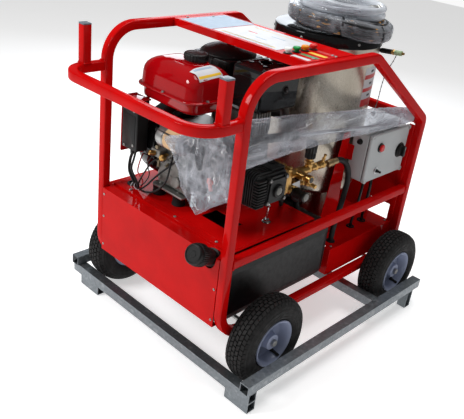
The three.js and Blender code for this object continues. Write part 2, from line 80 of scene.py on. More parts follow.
def turned(bm, profile, at, axis=Z, sides=48, mat=0, flutes=0, depth=0.0):
    """A turned part. The profile is (distance along the axis, radius) pairs, closed across to the axis
    at both ends unless it is a ring. flutes is a number of grooves cut along it."""
    first, last = profile[0], profile[-1]
    if first != last:
        profile = ([(first[0], 0)] if first[1] else []) + profile + ([(last[0], 0)] if last[1] else [])
    u, v, w = basis(axis)
    rings = []
    for along, radius in profile:
        centre = Vector(at) + w * along
        ring = []
        for i in range(sides):
            a = math.tau * i / sides
            cut = depth * (0.5 - 0.5 * math.cos(flutes * a)) if flutes and radius > 2 * depth else 0
            ring.append(centre + (radius - cut) * (math.cos(a) * u + math.sin(a) * v))
        rings.append([centre] if radius < 0.01 else ring)
    skin(bm, rings, mat)


def ring_of(radius, sides=16):
    """A round section."""
    return [(radius * math.cos(math.tau * i / sides), radius * math.sin(math.tau * i / sides))
            for i in range(sides)]


CORNERS = ((-1, -1), (1, -1), (1, 1), (-1, 1))


def around(count, first=0.0, u=Y, v=Z):
    """Directions spread round a circle in the plane of u and v, each with the direction along the rim."""
    for k in range(count):
        a = math.tau * k / count + first
        yield math.cos(a) * u + math.sin(a) * v, math.cos(a) * v - math.sin(a) * u


def rounded_rect(width, height, radius, steps=4):
    """A rectangular section with round corners, centred on its middle."""
    points = []
    for corner, (sx, sy) in enumerate(((1, 1), (-1, 1), (-1, -1), (1, -1))):
        cx, cy = sx * (width / 2 - radius), sy * (height / 2 - radius)
        for i in range(steps + 1):
            a = math.pi / 2 * (corner + i / steps)
            points.append((cx + radius * math.cos(a), cy + radius * math.sin(a)))
    return points


def fillet(points, radii, closed=False):
    """Rounds a polyline's corners. radii is one radius, or one for each point."""
    points = [Vector(p) for p in points]
    count = len(points)
    if not hasattr(radii, "__len__"):
        radii = [radii] * count
    path = []
    for i, point in enumerate(points):
        if not closed and i in (0, count - 1):
            path.append(point)
            continue
        into = (point - points[i - 1]).normalized()
        out = (points[(i + 1) % count] - point).normalized()
        bend = into.angle(out)
        if bend < 0.01 or radii[i] < 0.01:
            path.append(point)
            continue
        start = point - into * radii[i] * math.tan(bend / 2)
        inward = (out - into * into.dot(out)).normalized()
        steps = max(2, round(bend / 0.12))
        for k in range(steps + 1):
            a = bend * k / steps
            path.append(start + radii[i] * (inward * (1 - math.cos(a)) + into * math.sin(a)))
    return path


def swept(bm, path, section, normal=None, closed=False, mat=0, size=None):
    """Carries a section along a path. normal is square to the path's plane, and size(share) scales it."""
    count = len(path)
    rings = []
    side = None
    for i, point in enumerate(path):
        ahead = path[(i + 1) % count] if closed or i < count - 1 else point
        behind = path[i - 1] if closed or i > 0 else point
        along = (ahead - behind).normalized()
        if normal is not None:
            side = along.cross(Vector(normal)).normalized()
        elif side is None:
            side = basis(along)[0]
        else:
            side = (side - along * side.dot(along)).normalized()
        up = side.cross(along)
        scale = size(i / max(1, count - 1)) if size else 1.0
        rings.append([point + scale * (a * side + b * up) for a, b in section])
    skin(bm, rings, mat, closed)


def pad(bm, low, high, radius, mat=0, axis=2, edge=0.0):
    """A block with round corners about an axis, and with softened edges where edge is given."""
    a, b = [i for i in range(3) if i != axis]
    size = [high[i] - low[i] for i in range(3)]
    middle = [(high[i] + low[i]) / 2 for i in range(3)]
    levels = [(low[axis], edge), (low[axis] + edge * 0.3, edge * 0.3), (low[axis] + edge, 0)]
    levels += [(high[axis] - edge, 0), (high[axis] - edge * 0.3, edge * 0.3), (high[axis], edge)]
    if not edge:
        levels = [(low[axis], 0), (high[axis], 0)]
    rings = []
    for level, shrink in levels:
        outline = rounded_rect(size[a] - 2 * shrink, size[b] - 2 * shrink, max(0.3, radius - shrink))
        ring = []
        for p, q in outline:
            point = [0, 0, 0]
            point[axis], point[a], point[b] = level, middle[a] + p, middle[b] + q
            ring.append(point)
        rings.append(ring)
    skin(bm, rings, mat)


def plate(bm, outline, axis, low, high):
    """A flat plate: a 2D outline in the other two axes, from low to high along one axis."""
    a, b = [i for i in range(3) if i != axis]
    rings = []
    for level in (low, high):
        ring = []
        for p, q in outline:
            point = [0, 0, 0]
            point[axis], point[a], point[b] = level, p, q
            ring.append(point)
        rings.append(ring)
    skin(bm, rings)


def hexagon(bm, at, axis, radius, height, mat=0):
    """A hexagon nut or bolt head with its corners taken off."""
    profile = [(0, radius * 0.9), (height * 0.15, radius), (height * 0.85, radius),
               (height, radius * 0.86)]
    turned(bm, profile, at, axis, 6, mat)


def bolt(bm, at, axis, radius, mat=0, shank=0.0):
    """A hexagon-head bolt on its washer, with a length of thread showing where shank is given."""
    w = Vector(axis).normalized()
    turned(bm, [(0, radius * 1.45), (radius * 0.25, radius * 1.45)], at, w, 20, mat)
    hexagon(bm, Vector(at) + w * radius * 0.25, w, radius, radius * 0.8, mat)
    if shank:
        start = Vector(at) + w * radius * 1.05
        turned(bm, [(0, radius * 0.5), (shank, radius * 0.5)], start, w, 12, mat)


def button_screw(bm, at, axis, radius, mat=0):
    """A domed socket screw."""
    profile = [(0, 1), (0.25, 1), (0.55, 0.8), (0.68, 0.52), (0.68, 0.42), (0.3, 0.36)]
    turned(bm, [(a * radius, r * radius) for a, r in profile], at, axis, 20, mat)


def weld_ring(bm, centre, axis, half, seed):
    """A weld bead round the end of a square tube that meets another tube."""
    draw = random.Random(seed)
    u, v = basis(axis)[:2]
    outline = rounded_rect(2 * half + 1, 2 * half + 1, 6, 3)
    path = [Vector(centre) + a * u + b * v for a, b in outline]
    dense = []
    for i, point in enumerate(path):
        following = path[(i + 1) % len(path)]
        steps = max(1, round((following - point).length / 3))
        dense += [point.lerp(following, k / steps) for k in range(steps)]
    swell = [1 + 0.22 * draw.random() for _ in dense]
    swept(bm, dense, ring_of(2.6, 7), closed=True, size=lambda t: swell[round(t * (len(dense) - 1))])


def piece(name, bm, materials, replaces=None, body="chassis", bevel=0.0, smooth=38):
    """Finishes a mesh: turns it into metres, shades it, and lets it ride on a body of the frame.
    replaces is the CAD node that it stands in for."""
    bmesh.ops.recalc_face_normals(bm, faces=bm.faces)
    bm.transform(Matrix.Scale(MM, 4))
    mesh = bpy.data.meshes.new(name)
    bm.to_mesh(mesh)
    bm.free()
    for entry in [materials] if isinstance(materials, str) else materials:
        mesh.materials.append(palette[entry])
    obj = bpy.data.objects.new(name, mesh)
    bpy.context.scene.collection.objects.link(obj)
    if bevel:
        soften(obj, bevel)
    else:
        mesh.set_sharp_from_angle(angle=math.radians(smooth))
    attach(obj, body)
    if replaces:
        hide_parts(replaces)
    return obj


def soften(obj, width):
    """Rounds a piece's edges as a bent or moulded edge is."""
    edges = obj.modifiers.new("edges", "BEVEL")
    edges.width = width * MM
    edges.segments = 2
    edges.limit_method = "ANGLE"
    edges.angle_limit = math.radians(30)
    edges.harden_normals = True
    edges.use_clamp_overlap = True


def thicken(obj, thickness):
    """Gives a film its thickness."""
    wall = obj.modifiers.new("film", "SOLIDIFY")
    wall.thickness = thickness * MM
    wall.offset = 0


def dress(node, material, edge, flat=1.5):
    """Gives a CAD node that stays its material, and softens its edges without touching its mesh."""
    obj = nodes[node]
    obj.data.materials.clear()
    obj.data.materials.append(palette[material])
    weld = obj.modifiers.new("weld", "WELD")
    weld.merge_threshold = 0.00002
    merge = obj.modifiers.new("flats", "DECIMATE")
    merge.decimate_type = "DISSOLVE"
    merge.angle_limit = math.radians(flat)
    soften(obj, edge)


# ---- materials ----

def linear(red, green, blue):
    """A display colour from 0 to 255 as the shader's linear colour."""
    def channel(value):
        value /= 255
        return value / 12.92 if value <= 0.04045 else ((value + 0.055) / 1.055) ** 2.4
    return (channel(red), channel(green), channel(blue), 1)


class Shader:
    """A node material with a Principled shader, and short calls for the detail on it."""

    def __init__(self, name, colour, rough, metal=0.0, **constants):
        self.material = bpy.data.materials.new(name)
        self.material.use_nodes = True
        self.tree = self.material.node_tree
        self.shader = self.tree.nodes["Principled BSDF"]
        self.colour = linear(*colour)
        self.shader.inputs["Base Color"].default_value = self.colour
        self.shader.inputs["Roughness"].default_value = rough
        self.shader.inputs["Metallic"].default_value = metal
        for key, value in constants.items():
            self.shader.inputs[key.replace("_", " ")].default_value = value
        self.rough = rough
        self.place = self.add("TexCoord").outputs["Object"]
        self.paint = None
        self.height = None
        palette[name] = self.material

    def add(self, kind, **settings):
        """A new shader node of a kind, with its settings."""
        made = self.tree.nodes.new("ShaderNode" + kind)
        for key, value in settings.items():
            setattr(made, key, value)
        return made

    def join(self, source, target):
        """Links one node's socket to another's."""
        self.tree.links.new(source, target)

    def stretched(self, scale):
        """The object's own coordinates, scaled along each axis, so that grain can run one way."""
        mapping = self.add("Mapping")
        mapping.inputs["Scale"].default_value = scale
        self.join(self.place, mapping.inputs["Vector"])
        return mapping.outputs["Vector"]

    def cloud(self, scale, detail=4.0, stretch=None, roughness=0.55):
        """Soft noise from 0 to 1. scale is its number of features in a metre."""
        made = self.add("TexNoise")
        made.inputs["Scale"].default_value = scale
        made.inputs["Detail"].default_value = detail
        made.inputs["Roughness"].default_value = roughness
        self.join(self.stretched(stretch) if stretch else self.place, made.inputs["Vector"])
        return made.outputs["Fac"]

    def ramp(self, source, low, high):
        """Spreads a band of a 0 to 1 signal over the whole of 0 to 1."""
        made = self.add("MapRange")
        made.inputs["From Min"].default_value = low
        made.inputs["From Max"].default_value = high
        self.join(source, made.inputs["Value"])
        return made.outputs["Result"]

    def tint(self, other, mask, share=1.0):
        """Mixes another display colour in where a mask is bright."""
        mix = self.add("MixRGB")
        strength = self.add("Math", operation="MULTIPLY")
        strength.inputs[1].default_value = share
        self.join(mask, strength.inputs[0])
        self.join(strength.outputs[0], mix.inputs["Fac"])
        mix.inputs["Color1"].default_value = self.colour
        if self.paint:
            self.join(self.paint, mix.inputs["Color1"])
        mix.inputs["Color2"].default_value = linear(*other)
        self.paint = mix.outputs["Color"]
        self.join(self.paint, self.shader.inputs["Base Color"])
        return self

    def gloss(self, mask, low, high):
        """Lets the roughness run from low to high with a mask."""
        made = self.add("MapRange")
        made.inputs["To Min"].default_value = low
        made.inputs["To Max"].default_value = high
        self.join(mask, made.inputs["Value"])
        self.join(made.outputs["Result"], self.shader.inputs["Roughness"])
        return self

    def bump(self, height, depth, strength=1.0):
        """Adds relief of a depth in millimetres."""
        made = self.add("Bump")
        made.inputs["Strength"].default_value = strength
        made.inputs["Distance"].default_value = depth * MM
        self.join(height, made.inputs["Height"])
        if self.height:
            self.join(self.height, made.inputs["Normal"])
        self.height = made.outputs["Normal"]
        self.join(self.height, self.shader.inputs["Normal"])
        return self


palette = {}


def enamel(name, colour, shade, rough, coat=0.22):
    """Sprayed enamel: orange peel, slow colour drift, and a film of dust that dulls it in patches."""
    made = Shader(name, colour, rough, 0.0, Specular_IOR_Level=0.0, Coat_Weight=coat, Coat_Roughness=0.07)
    made.tint(shade, made.ramp(made.cloud(9), 0.35, 0.75), 0.55)
    dust = [c * 0.5 + 90 for c in colour]
    made.tint(dust, made.ramp(made.cloud(60, 8), 0.66, 0.8), 0.08)
    made.gloss(made.ramp(made.cloud(25, 6), 0.3, 0.7), rough * 0.8, rough * 1.35)
    made.bump(made.cloud(420, 2), 0.05, 0.45)
    made.bump(made.cloud(14, 2), 0.5, 0.2)
    return made


def moulded(name, colour, rough, grain=900, depth=0.12, shade=0.6, **constants):
    """Moulded plastic or rubber: fine grain, slight colour drift, and duller patches."""
    made = Shader(name, colour, rough, 0.0, **{"Specular_IOR_Level": 0.28, **constants})
    made.tint([c * shade for c in colour], made.ramp(made.cloud(30, 5), 0.4, 0.75), 0.5)
    made.tint([min(255, c + 34) for c in colour], made.ramp(made.cloud(140, 9), 0.62, 0.85), 0.2)
    made.gloss(made.ramp(made.cloud(50, 5), 0.3, 0.7), rough * 0.82, min(1, rough * 1.25))
    made.bump(made.cloud(grain, 3), depth, 0.5)
    return made


def metal(name, colour, rough, depth=0.06):
    """Bare metal, fine-grained, stained in places."""
    made = Shader(name, colour, rough, 1.0)
    made.tint([c * 0.72 for c in colour], made.ramp(made.cloud(28, 6), 0.4, 0.7), 0.6)
    made.tint([c * 0.45 for c in colour], made.ramp(made.cloud(190, 8), 0.62, 0.8), 0.35)
    grain = made.cloud(700, 5)
    made.gloss(made.ramp(grain, 0.25, 0.75), rough * 0.75, min(1, rough * 1.4))
    made.bump(grain, depth, 0.4)
    return made


enamel("red_enamel", (194, 8, 8), (160, 5, 6), 0.25)
enamel("red_tank_enamel", (160, 6, 13), (140, 4, 10), 0.13, 0.8)
enamel("black_enamel", (16, 16, 17), (10, 10, 10), 0.3, 0.6)
enamel("grey_box", (186, 189, 190), (172, 175, 176), 0.42)
enamel("rim_enamel", (150, 158, 182), (132, 139, 160), 0.36)
moulded("black_plastic", (17, 17, 18), 0.4)
moulded("ribbed_black", (15, 15, 15), 0.46, 700, 0.2)
moulded("tank_plastic", (10, 10, 10), 0.4, 500, 0.35)
moulded("cap_plastic", (104, 112, 122), 0.4)
moulded("tyre_rubber", (33, 32, 32), 0.74, 800, 0.35)
moulded("hose_rubber", (21, 21, 22), 0.55, 900, 0.15)
moulded("cable_black", (16, 16, 17), 0.4)
moulded("cable_red", (180, 16, 18), 0.36)
moulded("mount_rubber", (17, 17, 18), 0.62, 600, 0.3)
moulded("button_red", (206, 22, 24), 0.28)
moulded("trigger_orange", (226, 78, 40), 0.4)
moulded("gun_plastic", (40, 42, 46), 0.46)
moulded("pale_green", (176, 200, 160), 0.4)
moulded("nozzle_white", (226, 226, 222), 0.36, shade=0.85)
moulded("nozzle_green", (22, 150, 70), 0.34)
moulded("nozzle_orange", (240, 150, 24), 0.34)
moulded("nozzle_red", (214, 44, 40), 0.34)
moulded("white_print", (206, 208, 211), 0.5, shade=0.92, Specular_IOR_Level=0.1)
moulded("blue_print", (160, 178, 196), 0.5, shade=0.94, Specular_IOR_Level=0.1)
moulded("yellow_print", (232, 190, 50), 0.4, shade=0.9)
moulded("green_print", (40, 140, 84), 0.4)
moulded("red_print", (200, 40, 38), 0.4)
moulded("gasket_paper", (206, 170, 128), 0.62, 400, 0.3, 0.82)
metal("steel", (168, 168, 166), 0.34)
metal("chrome", (205, 206, 208), 0.16)
metal("cast_alloy", (150, 149, 145), 0.52, depth=0.25)
metal("brass", (186, 146, 86), 0.27)
metal("gold_zinc", (184, 160, 122), 0.4)
metal("dull_zinc", (138, 126, 104), 0.45)
metal("dark_steel", (78, 77, 76), 0.5)
metal("wire_steel", (148, 150, 150), 0.3)


def galvanised():
    """Hot-dip zinc: a spangle of crystals, and white bloom where the coat has weathered."""
    made = Shader("galvanised", (132, 138, 142), 0.42, 0.85)
    spangle = made.add("TexVoronoi")
    spangle.inputs["Scale"].default_value = 120
    made.join(made.place, spangle.inputs["Vector"])
    made.tint((98, 104, 110), spangle.outputs["Color"], 0.55)
    made.tint((186, 190, 192), made.ramp(made.cloud(45, 8), 0.55, 0.75), 0.5)
    made.tint((92, 84, 74), made.ramp(made.cloud(22, 9), 0.66, 0.8), 0.5)
    made.gloss(made.ramp(made.cloud(80, 6), 0.3, 0.7), 0.28, 0.6)
    made.bump(made.cloud(260, 5), 0.15, 0.5)


def stainless():
    """Rolled stainless sheet: fine vertical grain, soft buckles, and fingerprints."""
    made = Shader("stainless", (186, 177, 164), 0.3, 1.0)
    grain = made.cloud(300, 3, (6, 6, 0.25))
    made.tint((152, 144, 130), made.ramp(made.cloud(5, 3, (1, 1, 0.4)), 0.4, 0.65), 0.5)
    made.tint((196, 190, 180), made.ramp(made.cloud(20, 4, (1, 1, 0.3)), 0.5, 0.75), 0.35)
    made.gloss(made.ramp(grain, 0.3, 0.7), 0.24, 0.32)
    made.bump(grain, 0.02, 0.2)
    made.bump(made.cloud(6, 1, (1, 1, 0.3)), 1.2, 0.25)


def sight_glass():
    """An oil sight glass: milky, with a darker level line."""
    made = Shader("sight_glass", (84, 82, 76), 0.2, 0.0, Coat_Weight=0.15, Coat_Roughness=0.05)
    made.tint((84, 78, 64), made.ramp(made.cloud(60, 3), 0.45, 0.7), 0.7)
    made.bump(made.cloud(90, 2), 0.3, 0.4)


def film(name, colour, cover, folds, rough=0.2, sheen_share=0.3, crease_highlight_scale=0, grain=None,
         layered=None):
    """Thin clear film: mostly see-through, whiter where it is crumpled or seen edge-on, and with painted
    highlights: thin white lines along its creases where their scale is given.
    """
    made = Shader(name, colour, rough, 0.0)
    crumple = made.cloud(folds, 7, grain, 0.58)
    made.tint((150, 152, 162), made.ramp(made.cloud(folds * 0.5, 5), 0.4, 0.65), 0.6)
    made.bump(crumple, 1.6, 0.5)
    made.bump(made.cloud(folds * 4, 3), 0.3, 0.25)
    clear = made.add("BsdfTransparent")
    clear.inputs["Color"].default_value = (0.93, 0.94, 0.95, 1)
    edge = made.add("LayerWeight")
    edge.inputs["Blend"].default_value = 0.35
    made.join(made.height, edge.inputs["Normal"])
    cloudy = made.ramp(crumple, 0.48, 0.76)
    # Painted highlight: thin white lines along the creases, less see-through there too, stand in for
    # light glinting off the folds.
    if crease_highlight_scale:
        middle = made.add("Math", operation="SUBTRACT")
        made.join(made.cloud(crease_highlight_scale, 3, grain, 0.45), middle.inputs[0])
        middle.inputs[1].default_value = 0.5
        ridge = made.add("Math", operation="ABSOLUTE")
        made.join(middle.outputs[0], ridge.inputs[0])
        painted_crease_highlight = made.add("Math", operation="MULTIPLY")
        made.join(made.ramp(ridge.outputs[0], 0.016, 0.0), painted_crease_highlight.inputs[0])
        made.join(made.ramp(made.cloud(crease_highlight_scale * 1.3, 3), 0.42, 0.6), painted_crease_highlight.inputs[1])
        made.tint((255, 255, 255), painted_crease_highlight.outputs[0])
        both = made.add("Math", operation="MAXIMUM")
        made.join(cloudy, both.inputs[0])
        made.join(painted_crease_highlight.outputs[0], both.inputs[1])
        cloudy = both.outputs[0]
    total = made.add("Math", operation="MULTIPLY_ADD", use_clamp=True)
    made.join(cloudy, total.inputs[0])
    total.inputs[1].default_value = cover[1] - cover[0]
    total.inputs[2].default_value = cover[0]
    if layered:
        parts = made.add("SeparateXYZ")
        made.join(made.place, parts.inputs["Vector"])
        along = made.add("Math", operation="MULTIPLY_ADD")
        made.join(made.ramp(parts.outputs["Y"], layered[0], layered[1]), along.inputs[0])
        along.inputs[1].default_value = layered[2]
        along.inputs[2].default_value = cover[0]
        made.join(along.outputs[0], total.inputs[2])
    sheen = made.add("Math", operation="MULTIPLY_ADD", use_clamp=True)
    made.join(edge.outputs["Facing"], sheen.inputs[0])
    sheen.inputs[1].default_value = sheen_share
    made.join(total.outputs[0], sheen.inputs[2])
    mix = made.add("MixShader")
    made.join(sheen.outputs[0], mix.inputs["Fac"])
    made.join(clear.outputs["BSDF"], mix.inputs[1])
    made.join(made.shader.outputs["BSDF"], mix.inputs[2])
    made.join(mix.outputs["Shader"], made.tree.nodes["Material Output"].inputs["Surface"])
    return made


galvanised()
stainless()
sight_glass()
film("bag_film", (220, 222, 230), (0.03, 0.44), 12, 0.1, 0.26, 12, (1.5, 0.3, 1.0), (0.1, 0.6, 0.32))
film("wrap_film", (206, 208, 214), (0.05, 0.3), 26, 0.08, 0.24)
film("clear_hose", (226, 230, 236), (0.2, 0.5), 14, 0.07, 0.75)


# ---- camera, light and floor ----

def set_camera():
    """The view: from the front right, above, and slightly rolled."""
    yaw, pitch, roll = (math.radians(a) for a in (41.55, 26.95, 7.1))
    ahead = Vector((-math.sin(yaw) * math.cos(pitch), math.cos(yaw) * math.cos(pitch), -math.sin(pitch)))
    level = ahead.cross(Z).normalized()
    above = level.cross(ahead)
    right = math.cos(roll) * level + math.sin(roll) * above
    up = math.cos(roll) * above - math.sin(roll) * level
    lens = bpy.data.cameras.new("camera")
    lens.sensor_width = 36
    lens.lens = 51.21
    camera = bpy.data.objects.new("camera", lens)
    bpy.context.scene.collection.objects.link(camera)
    turn = Matrix((right, up, -ahead)).transposed().to_4x4()
    camera.matrix_world = Matrix.Translation((1.4772, -1.7622, 1.5620)) @ turn
    bpy.context.scene.camera = camera


def area_light(name, at, aim, size, power, colour=(1, 1, 1)):
    """A square soft light at a place, aimed at another."""
    data = bpy.data.lights.new(name, "AREA")
    data.energy = power
    data.size = size
    data.color = colour
    light = bpy.data.objects.new(name, data)
    bpy.context.scene.collection.objects.link(light)
    light.location = at
    light.rotation_euler = (Vector(aim) - Vector(at)).to_track_quat("-Z", "Y").to_euler()


SKY, BACKDROP = 0.19, 0.95


def set_stage():
    """Soft studio light from the front left and above, and a plain pale floor."""
    world = bpy.data.worlds.new("world")
    bpy.context.scene.world = world
    world.use_nodes = True
    sky = world.node_tree.nodes["Background"]
    sky.inputs["Color"].default_value = (1, 1, 1, 1)
    bpy.context.scene.view_settings.view_transform = "Standard"
    ray = world.node_tree.nodes.new("ShaderNodeLightPath")
    strength = world.node_tree.nodes.new("ShaderNodeMath")
    strength.operation = "MULTIPLY_ADD"
    strength.inputs[1].default_value = BACKDROP - SKY
    strength.inputs[2].default_value = SKY
    world.node_tree.links.new(ray.outputs["Is Camera Ray"], strength.inputs[0])
    world.node_tree.links.new(strength.outputs[0], sky.inputs["Strength"])
    area_light("key", (-1.5, -3.1, 2.7), (0, 0, 0.5), 1.3, 98)
    area_light("top", (0.2, 0.5, 3.8), (0, 0.2, 0.6), 2.2, 80)
    area_light("window", (-2.5, 2.5, 1.95), (0, 0, 0.8), 1.7, 38, (0.88, 0.93, 1))
    bm = bmesh.new()
    skin(bm, [[(-9, -9, -0.002), (9, -9, -0.002), (9, 9, -0.002), (-9, 9, -0.002)]], caps=False)
    bm.faces.new(bm.verts)
    mesh = bpy.data.meshes.new("floor")
    bm.to_mesh(mesh)
    bm.free()
    floor = Shader("pale_floor", (244, 244, 244), 0.8)
    floor.shader.inputs["Emission Color"].default_value = (1, 1, 1, 1)
    floor.shader.inputs["Emission Strength"].default_value = 0.5
    floor.tint((232, 232, 232), floor.cloud(3), 0.5)
    mesh.materials.append(palette["pale_floor"])
    ground = bpy.data.objects.new("floor", mesh)
    bpy.context.scene.collection.objects.link(ground)


set_camera()
set_stage()


# ---- cords, made first ----

LID_TOP = 1092
BOILER = (4, 319)
COIL = (33, 339)
COIL_GAP = 0.5
HOSE = 17.0
SUPPLY = 24.0
SUPPLY_FOOT = LID_TOP + 52
LID_EDGE, LID_REACH = 196, 205


def cord_curve(name, points, diameter, material):
    """A cord as one smooth open curve, round in section."""
    data = bpy.data.curves.new(name, "CURVE")
    data.dimensions = "3D"
    data.bevel_depth = diameter / 2 * MM
    data.bevel_resolution = 4
    data.use_fill_caps = True
    line = data.splines.new("POLY")
    line.points.add(len(points) - 1)
    for knot, point in zip(line.points, points):
        knot.co = (*(Vector(point) * MM), 1)
    line.use_smooth = True
    data.materials.append(palette[material])
    obj = bpy.data.objects.new(name, data)
    bpy.context.scene.collection.objects.link(obj)
    return obj


def smooth_line(points, spacing=6.0):
    """A Catmull-Rom line through points, resampled closely."""
    points = [Vector(p) for p in points]
    knots = [points[0] * 2 - points[1]] + points + [points[-1] * 2 - points[-2]]
    line = []
    for a, b, c, d in zip(knots, knots[1:], knots[2:], knots[3:]):
        steps = max(2, round((c - b).length / spacing))
        for k in range(steps):
            t = k / steps
            line.append(0.5 * (2 * b + (c - a) * t + (2 * a - 5 * b + 4 * c - d) * t * t
                               + (3 * b - a - 3 * c + d) * t ** 3))
    line.append(points[-1])
    return line


def lid_drop(x, y):
    """How far a turn of hose sinks where it hangs past the boiler lid's edge."""
    past = math.hypot(x - BOILER[0], y - BOILER[1]) - LID_EDGE
    return min(14.0, max(0.0, past) * 0.8)


def coil_tilt(x, y):
    """The wrapped bundle sits askew: higher at its front left, lower over the lid's right edge."""
    return 7.5 + 0.055 * (COIL[0] - x) + 0.03 * (COIL[1] - y)


def coil_points(radii, layers, pitch, base, start_angle, droop=True):
    """A flat coil: spirals out and back in, one layer on the next."""
    per_turn = 40
    points = []
    spiral = []
    for turn, radius in enumerate(radii):
        for k in range(per_turn):
            share = k / per_turn
            following = radii[min(turn + 1, len(radii) - 1)]
            step = max(0.0, (share - 0.8) / 0.2)
            spiral.append((radius + (following - radius) * step * step * (3 - 2 * step), share))
    spiral.append((radii[-1], 1.0))
    for layer in range(layers):
        run = spiral if layer % 2 == 0 else spiral[::-1]
        for i, (radius, _) in enumerate(run):
            angle = start_angle + math.tau * (i / per_turn)
            x = COIL[0] + radius * math.cos(angle)
            y = COIL[1] + radius * math.sin(angle)
            z = base + layer * pitch
            ends = i / per_turn
            if layer < layers - 1 and ends > len(radii) - 0.35:
                rise = (ends - len(radii) + 0.35) / 0.35
                z += pitch * rise * rise * (3 - 2 * rise)
            if droop:
                z -= lid_drop(x, y)
            points.append((x, y, z + COIL_GAP + coil_tilt(x, y)))
    return points


def cable(name, knots, diameter, material="cable_black"):
    """A cable or hose that is seen from end to end, fixed to the machine at both ends."""
    points = smooth_line(knots)
    obj = cord_curve(name, points, diameter, material)
    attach(obj, "chassis")
    return obj


def hose_fitting(name, points, diameter):
    """A swaged ferrule and a swivel nut on a hose's last stretch, in line with it."""
    tip, before = Vector(points[-1]), Vector(points[-6])
    axis = (tip - before).normalized()
    r = diameter / 2
    bm = bmesh.new()
    ferrule = [(0, r + 1), (2, r + 2.5)]
    for groove in range(4):
        at = 5 + groove * 6
        ferrule += [(at, r + 2.5), (at + 1, r + 1.3), (at + 3, r + 1.3), (at + 4, r + 2.5)]
    turned(bm, ferrule + [(30, r + 2.5), (32, r)], tip - axis * 24, axis, 24)
    hexagon(bm, tip + axis * 8.5, axis, r + 5, 14)
    turned(bm, [(0, r * 0.7), (12, r * 0.7), (12, r * 0.45), (4, r * 0.45)],
           tip + axis * 22.8, axis, 24)
    return piece(name, bm, "steel")


def make_hose(name, points, diameter, material):
    """A coiled hose on the boiler lid, with a fitting at its loose end."""
    hose = cord_curve(name, points, diameter, material)
    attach(hose, "chassis")
    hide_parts(f"{name}_coil")
    fitting = hose_fitting(f"{name}_fitting", points, diameter)


def make_hoses():
    """15 m of black wire-braid hose in three layers of five turns, under four turns of clear hose."""
    radii = [118 + 17.2 * i for i in range(5)]
    points = coil_points(radii, 3, 17.0, LID_TOP + HOSE / 2, 2.4)
    make_hose("pressure_hose", points, HOSE, "coil_rubber")
    points = coil_points([124, 148.5], 2, 23.0, SUPPLY_FOOT + SUPPLY / 2, 0.2, droop=False)
    make_hose("supply_hose", points, SUPPLY, "clear_hose")


def make_coil_wrap():
    """Clear stretch film round the hose bundle, in seven crinkled bands with gaps between them."""
    bm = bmesh.new()
    section = rounded_rect(92, 57, 18, 5)
    radius, middle, bands = 152.4, LID_TOP + 26.5, 7
    span = math.tau / bands
    for band in range(bands):
        rings = []
        for k in range(25):
            a = span * (band + 0.96 * k / 24)
            out = Vector((math.cos(a), math.sin(a), 0))
            ring = []
            for i, (across, up) in enumerate(section):
                wander = 0.05 * noise.noise(Vector((i * 0.5, band * 3.1, 7.0))) if k in (0, 24) else 0
                swell = 1.8 * noise.noise(Vector((a * 22, i * 0.33, 2.0)))
                swell += 1.2 * noise.noise(Vector((a * 60, i * 0.7, 5)))
                grow = 1 + swell / 46
                spot = Matrix.Rotation(wander, 3, "Z") @ (out * (radius + across * grow))
                x, y = COIL[0] + spot.x, COIL[1] + spot.y
                z = middle + up * grow + coil_tilt(x, y) - lid_drop(x, y)
                over_lid = math.hypot(x - BOILER[0], y - BOILER[1]) < LID_REACH
                ring.append((x, y, max(z, LID_TOP + 0.4) if over_lid else z))
            rings.append(ring)
        skin(bm, rings, caps=False)
    wrap = piece("coil_wrap_film", bm, "wrap_film", smooth=180)
    thicken(wrap, 0.2)


def printed_hose():
    """Hose rubber with the faint woven marks of its cover and a broken line of yellow ink."""
    made = moulded("coil_rubber", (26, 26, 28), 0.34, 900, 0.15)
    dashes = made.ramp(made.cloud(24, 2, (1, 1, 4)), 0.66, 0.68)
    made.tint((216, 150, 50), dashes, 0.9)
    made.tint((120, 122, 128), made.ramp(made.cloud(26, 6), 0.56, 0.66), 0.35)


printed_hose()
make_hoses()
make_coil_wrap()
outlet = cable("outlet_hose_rubber", [(248, 164.5, 667), (248, 174, 667), (250, 192, 664),
                                      (256, 216, 648), (262, 235, 612), (265, 240, 560), (264, 228, 470),
                                      (262, 216, 400), (262, 211, 350), (262, 211, 319)], 22,
               "hose_rubber")
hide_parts("outlet_hose")


# ---- tube frame ----

TUBE = 32
FRAME_OUTER = 338
FRONT, REAR, HANDLE_FRONT = -468, 613, -639
RAIL_LOW, RAIL_MIDDLE, TOP = 171.5, 477, 1084
HALF = TUBE / 2
SECTION = rounded_rect(TUBE - 0.4, TUBE - 0.4, 4.5, 3)


def side_loop():
    """Each side's loop of tube, along its centre line, as (y, z) corners with their bend radii."""
    y0, y1, z0, z1 = FRONT + HALF, REAR - HALF, RAIL_LOW + HALF, TOP - HALF
    corners = [(y0, z0), (y1, z0), (y1, 781.4), (162.2, z1), (y0, z1)]
    return corners, [109, 44, 40, 40, 109]


def make_side_frames():
    """Both side loops, each with its middle rail welded in."""
    corners, radii = side_loop()
    for side, sign in (("left", -1), ("right", 1)):
        x = sign * (FRAME_OUTER - HALF)
        bm = bmesh.new()
        path = fillet([(x, y, z) for y, z in corners], radii, closed=True)
        swept(bm, path, SECTION, normal=X, closed=True)
        rail = [(x, FRONT + TUBE + 0.3, RAIL_MIDDLE), (x, REAR - TUBE, RAIL_MIDDLE)]
        swept(bm, [Vector(p) for p in rail], SECTION, normal=X)
        for seed, (y, facing) in enumerate(((FRONT + TUBE + 1, Y), (REAR - TUBE - 1, -Y))):
            weld_ring(bm, (x, y, RAIL_MIDDLE), facing, HALF, seed=seed + 3)
        if sign > 0:
            screws = bmesh.new()
            for y in (-133, -35):
                button_screw(screws, (285, y, TOP), Z, 5)
            piece("tray_screws_right", screws, "steel")
        piece(f"frame_loop_{side}", bm, "red_enamel", f"side_frame_{side}", smooth=50)


